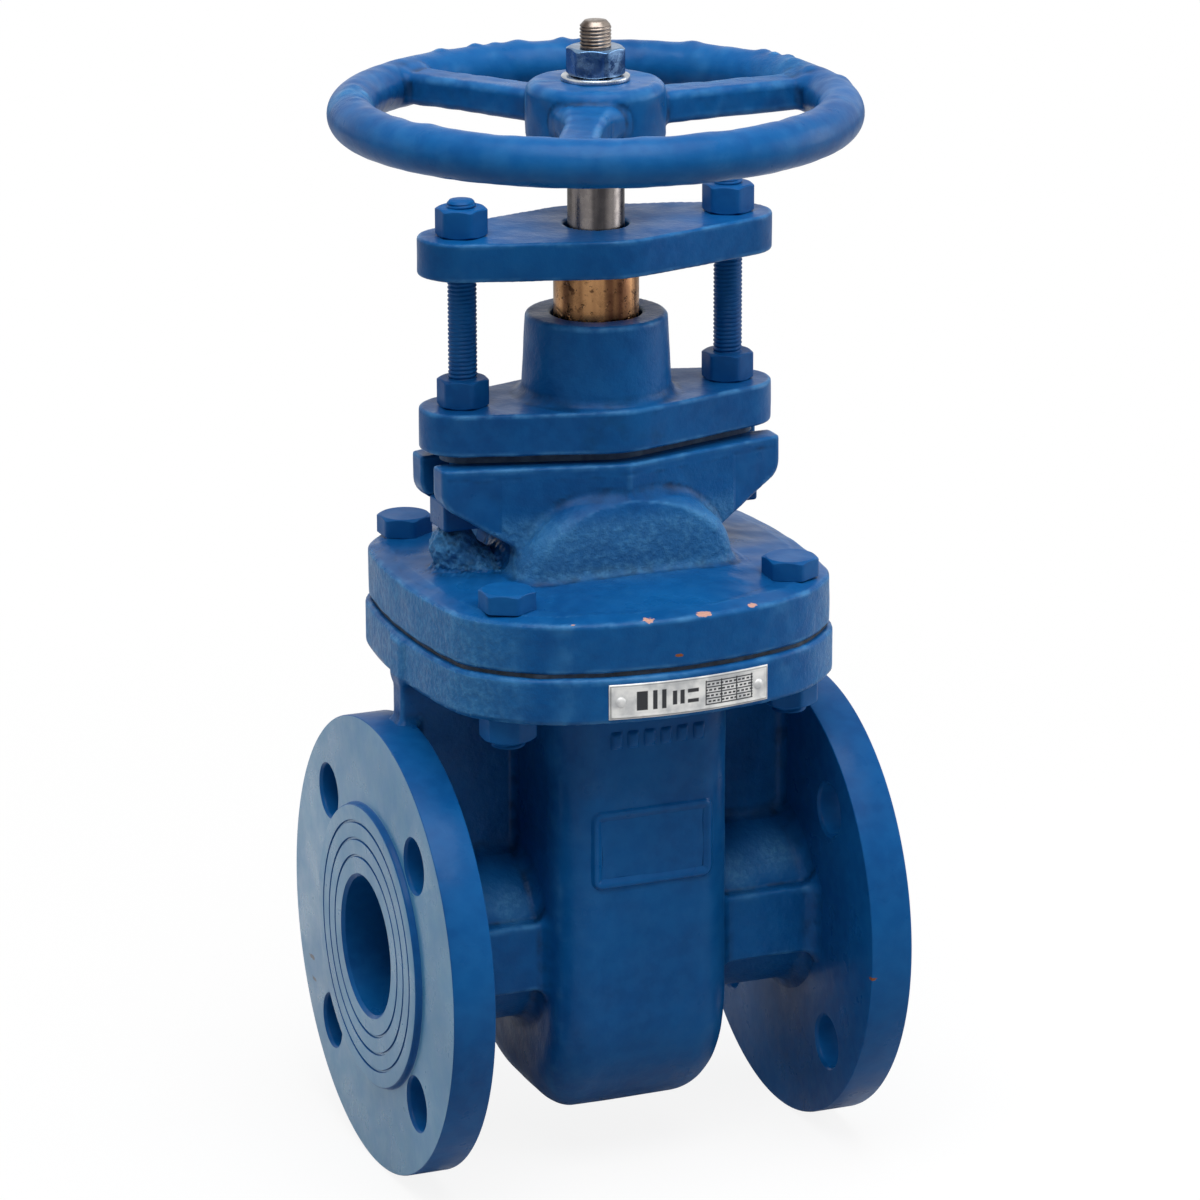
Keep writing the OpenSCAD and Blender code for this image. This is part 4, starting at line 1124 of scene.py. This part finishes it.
def build_camera():
    flat = math.cos(CAMERA_RISE)
    back = Vector((math.sin(CAMERA_TURN) * flat, -math.cos(CAMERA_TURN) * flat, math.sin(CAMERA_RISE)))
    level = Vector((math.cos(CAMERA_TURN), math.sin(CAMERA_TURN), 0))
    up = back.cross(level)
    c, s = math.cos(CAMERA_ROLL), math.sin(CAMERA_ROLL)
    right, top = c * level + s * up, c * up - s * level
    data = bpy.data.cameras.new("camera")
    data.sensor_width = 36
    data.lens = CAMERA_LENS
    camera = add_object("camera", data)
    place = Vector(CAMERA_AIM) + back * CAMERA_DISTANCE
    camera.matrix_world = Matrix((right, top, back)).transposed().to_4x4()
    camera.matrix_world.translation = place
    bpy.context.scene.camera = camera


def softbox(name, place, aim, size, power, mirrored=False):
    data = bpy.data.lights.new(name, "AREA")
    data.shape = "RECTANGLE"
    data.size, data.size_y = size
    data.energy = power
    light = add_object(name, data)
    light.location = place
    light.rotation_mode = "QUATERNION"
    light.rotation_quaternion = (Vector(place) - Vector(aim)).to_track_quat("Z", "Y")
    light.visible_glossy = mirrored


def any_ray(tree, *kinds):
    """1 for rays of any of these kinds, as the Light Path node names them; else 0."""
    path = tree.nodes.new("ShaderNodeLightPath")
    seen = path.outputs[kinds[0]]
    for kind in kinds[1:]:
        both = tree.nodes.new("ShaderNodeMath")
        both.operation = "MAXIMUM"
        tree.links.new(seen, both.inputs[0])
        tree.links.new(path.outputs[kind], both.inputs[1])
        seen = both.outputs[0]
    return seen


def studio_floor():
    """A floor that shows the object's shadow and fades to plain white away from it."""
    bpy.ops.mesh.primitive_plane_add(size=FLOOR_SIZE, location=(STEM_X / 1000, 0, FLOOR_Z))
    floor = bpy.context.object
    floor.name = "studio_floor"
    n = Nodes("studio_floor")
    shade = n.put(n.add("ShaderNodeMapRange"), Value=any_ray(n.tree, *SEEN_RAYS), To_Min=FLOOR_BOUNCE,
                  To_Max=FLOOR_PALE)
    n.put(n.shader, Base_Color=shade.outputs[0], Roughness=1, Specular_IOR_Level=0)
    white = n.put(n.add("ShaderNodeEmission"), Strength=1)
    fade = n.remap(n.vector("LENGTH", n.place), *FLOOR_FADE, FLOOR_WHITE, 1)
    amount = n.math("MULTIPLY", any_ray(n.tree, "Is Camera Ray", "Is Transmission Ray"), fade)
    mix = n.add("ShaderNodeMixShader")
    for source, socket in zip((amount, n.shader.outputs[0], white.outputs[0]), mix.inputs):
        n.feed(socket, source)
    n.put(n.tree.nodes["Material Output"], Surface=mix.outputs[0])
    floor.data.materials.append(n.material)


def build_studio():
    world = bpy.data.worlds.new("studio")
    world.use_nodes = True
    bpy.context.scene.world = world
    tree = world.node_tree
    sky, white = tree.nodes["Background"], tree.nodes.new("ShaderNodeBackground")
    for node, strength in ((sky, SKY_LIGHT), (white, 1)):
        node.inputs["Color"].default_value = (1, 1, 1, 1)
        node.inputs["Strength"].default_value = strength
    mix = tree.nodes.new("ShaderNodeMixShader")
    tree.links.new(any_ray(tree, *SEEN_RAYS), mix.inputs[0])
    tree.links.new(sky.outputs[0], mix.inputs[1])
    tree.links.new(white.outputs[0], mix.inputs[2])
    tree.links.new(mix.outputs[0], tree.nodes["World Output"].inputs["Surface"])
    bpy.context.scene.view_settings.view_transform = "Standard"
    middle = (STEM_X / 1000, 0, 0.12)
    softbox("key_above", (0.0, -0.45, 1.45), middle, (1.3, 1.3), 26, mirrored=True)
    softbox("fill_behind_left", (-1.1, 1.1, 0.35), middle, (1.2, 1.0), 7)
    softbox("fill_right", (1.4, -0.25, 0.5), middle, (0.9, 0.9), 7, mirrored=True)
    studio_floor()


# ---- build

build_body()
casting("bonnet_casting", bonnet_form, (-76, -80, 115), (76, 80, 177), BONNET_CELL, BLUE_WORN, BODY,
        "blue_enamel", "bonnet", bonnet_rough)
build_gland()
casting("handwheel_casting", wheel_form, (-93, -93, 282), (93, 93, 307), WHEEL_CELL, BLUE, WHEEL,
        "blue_enamel", "handwheel", wheel_rough)
build_stem()
joint_bolts()
gland_studs()
rating_plate()
dress_nodes()
build_camera()
build_studio()
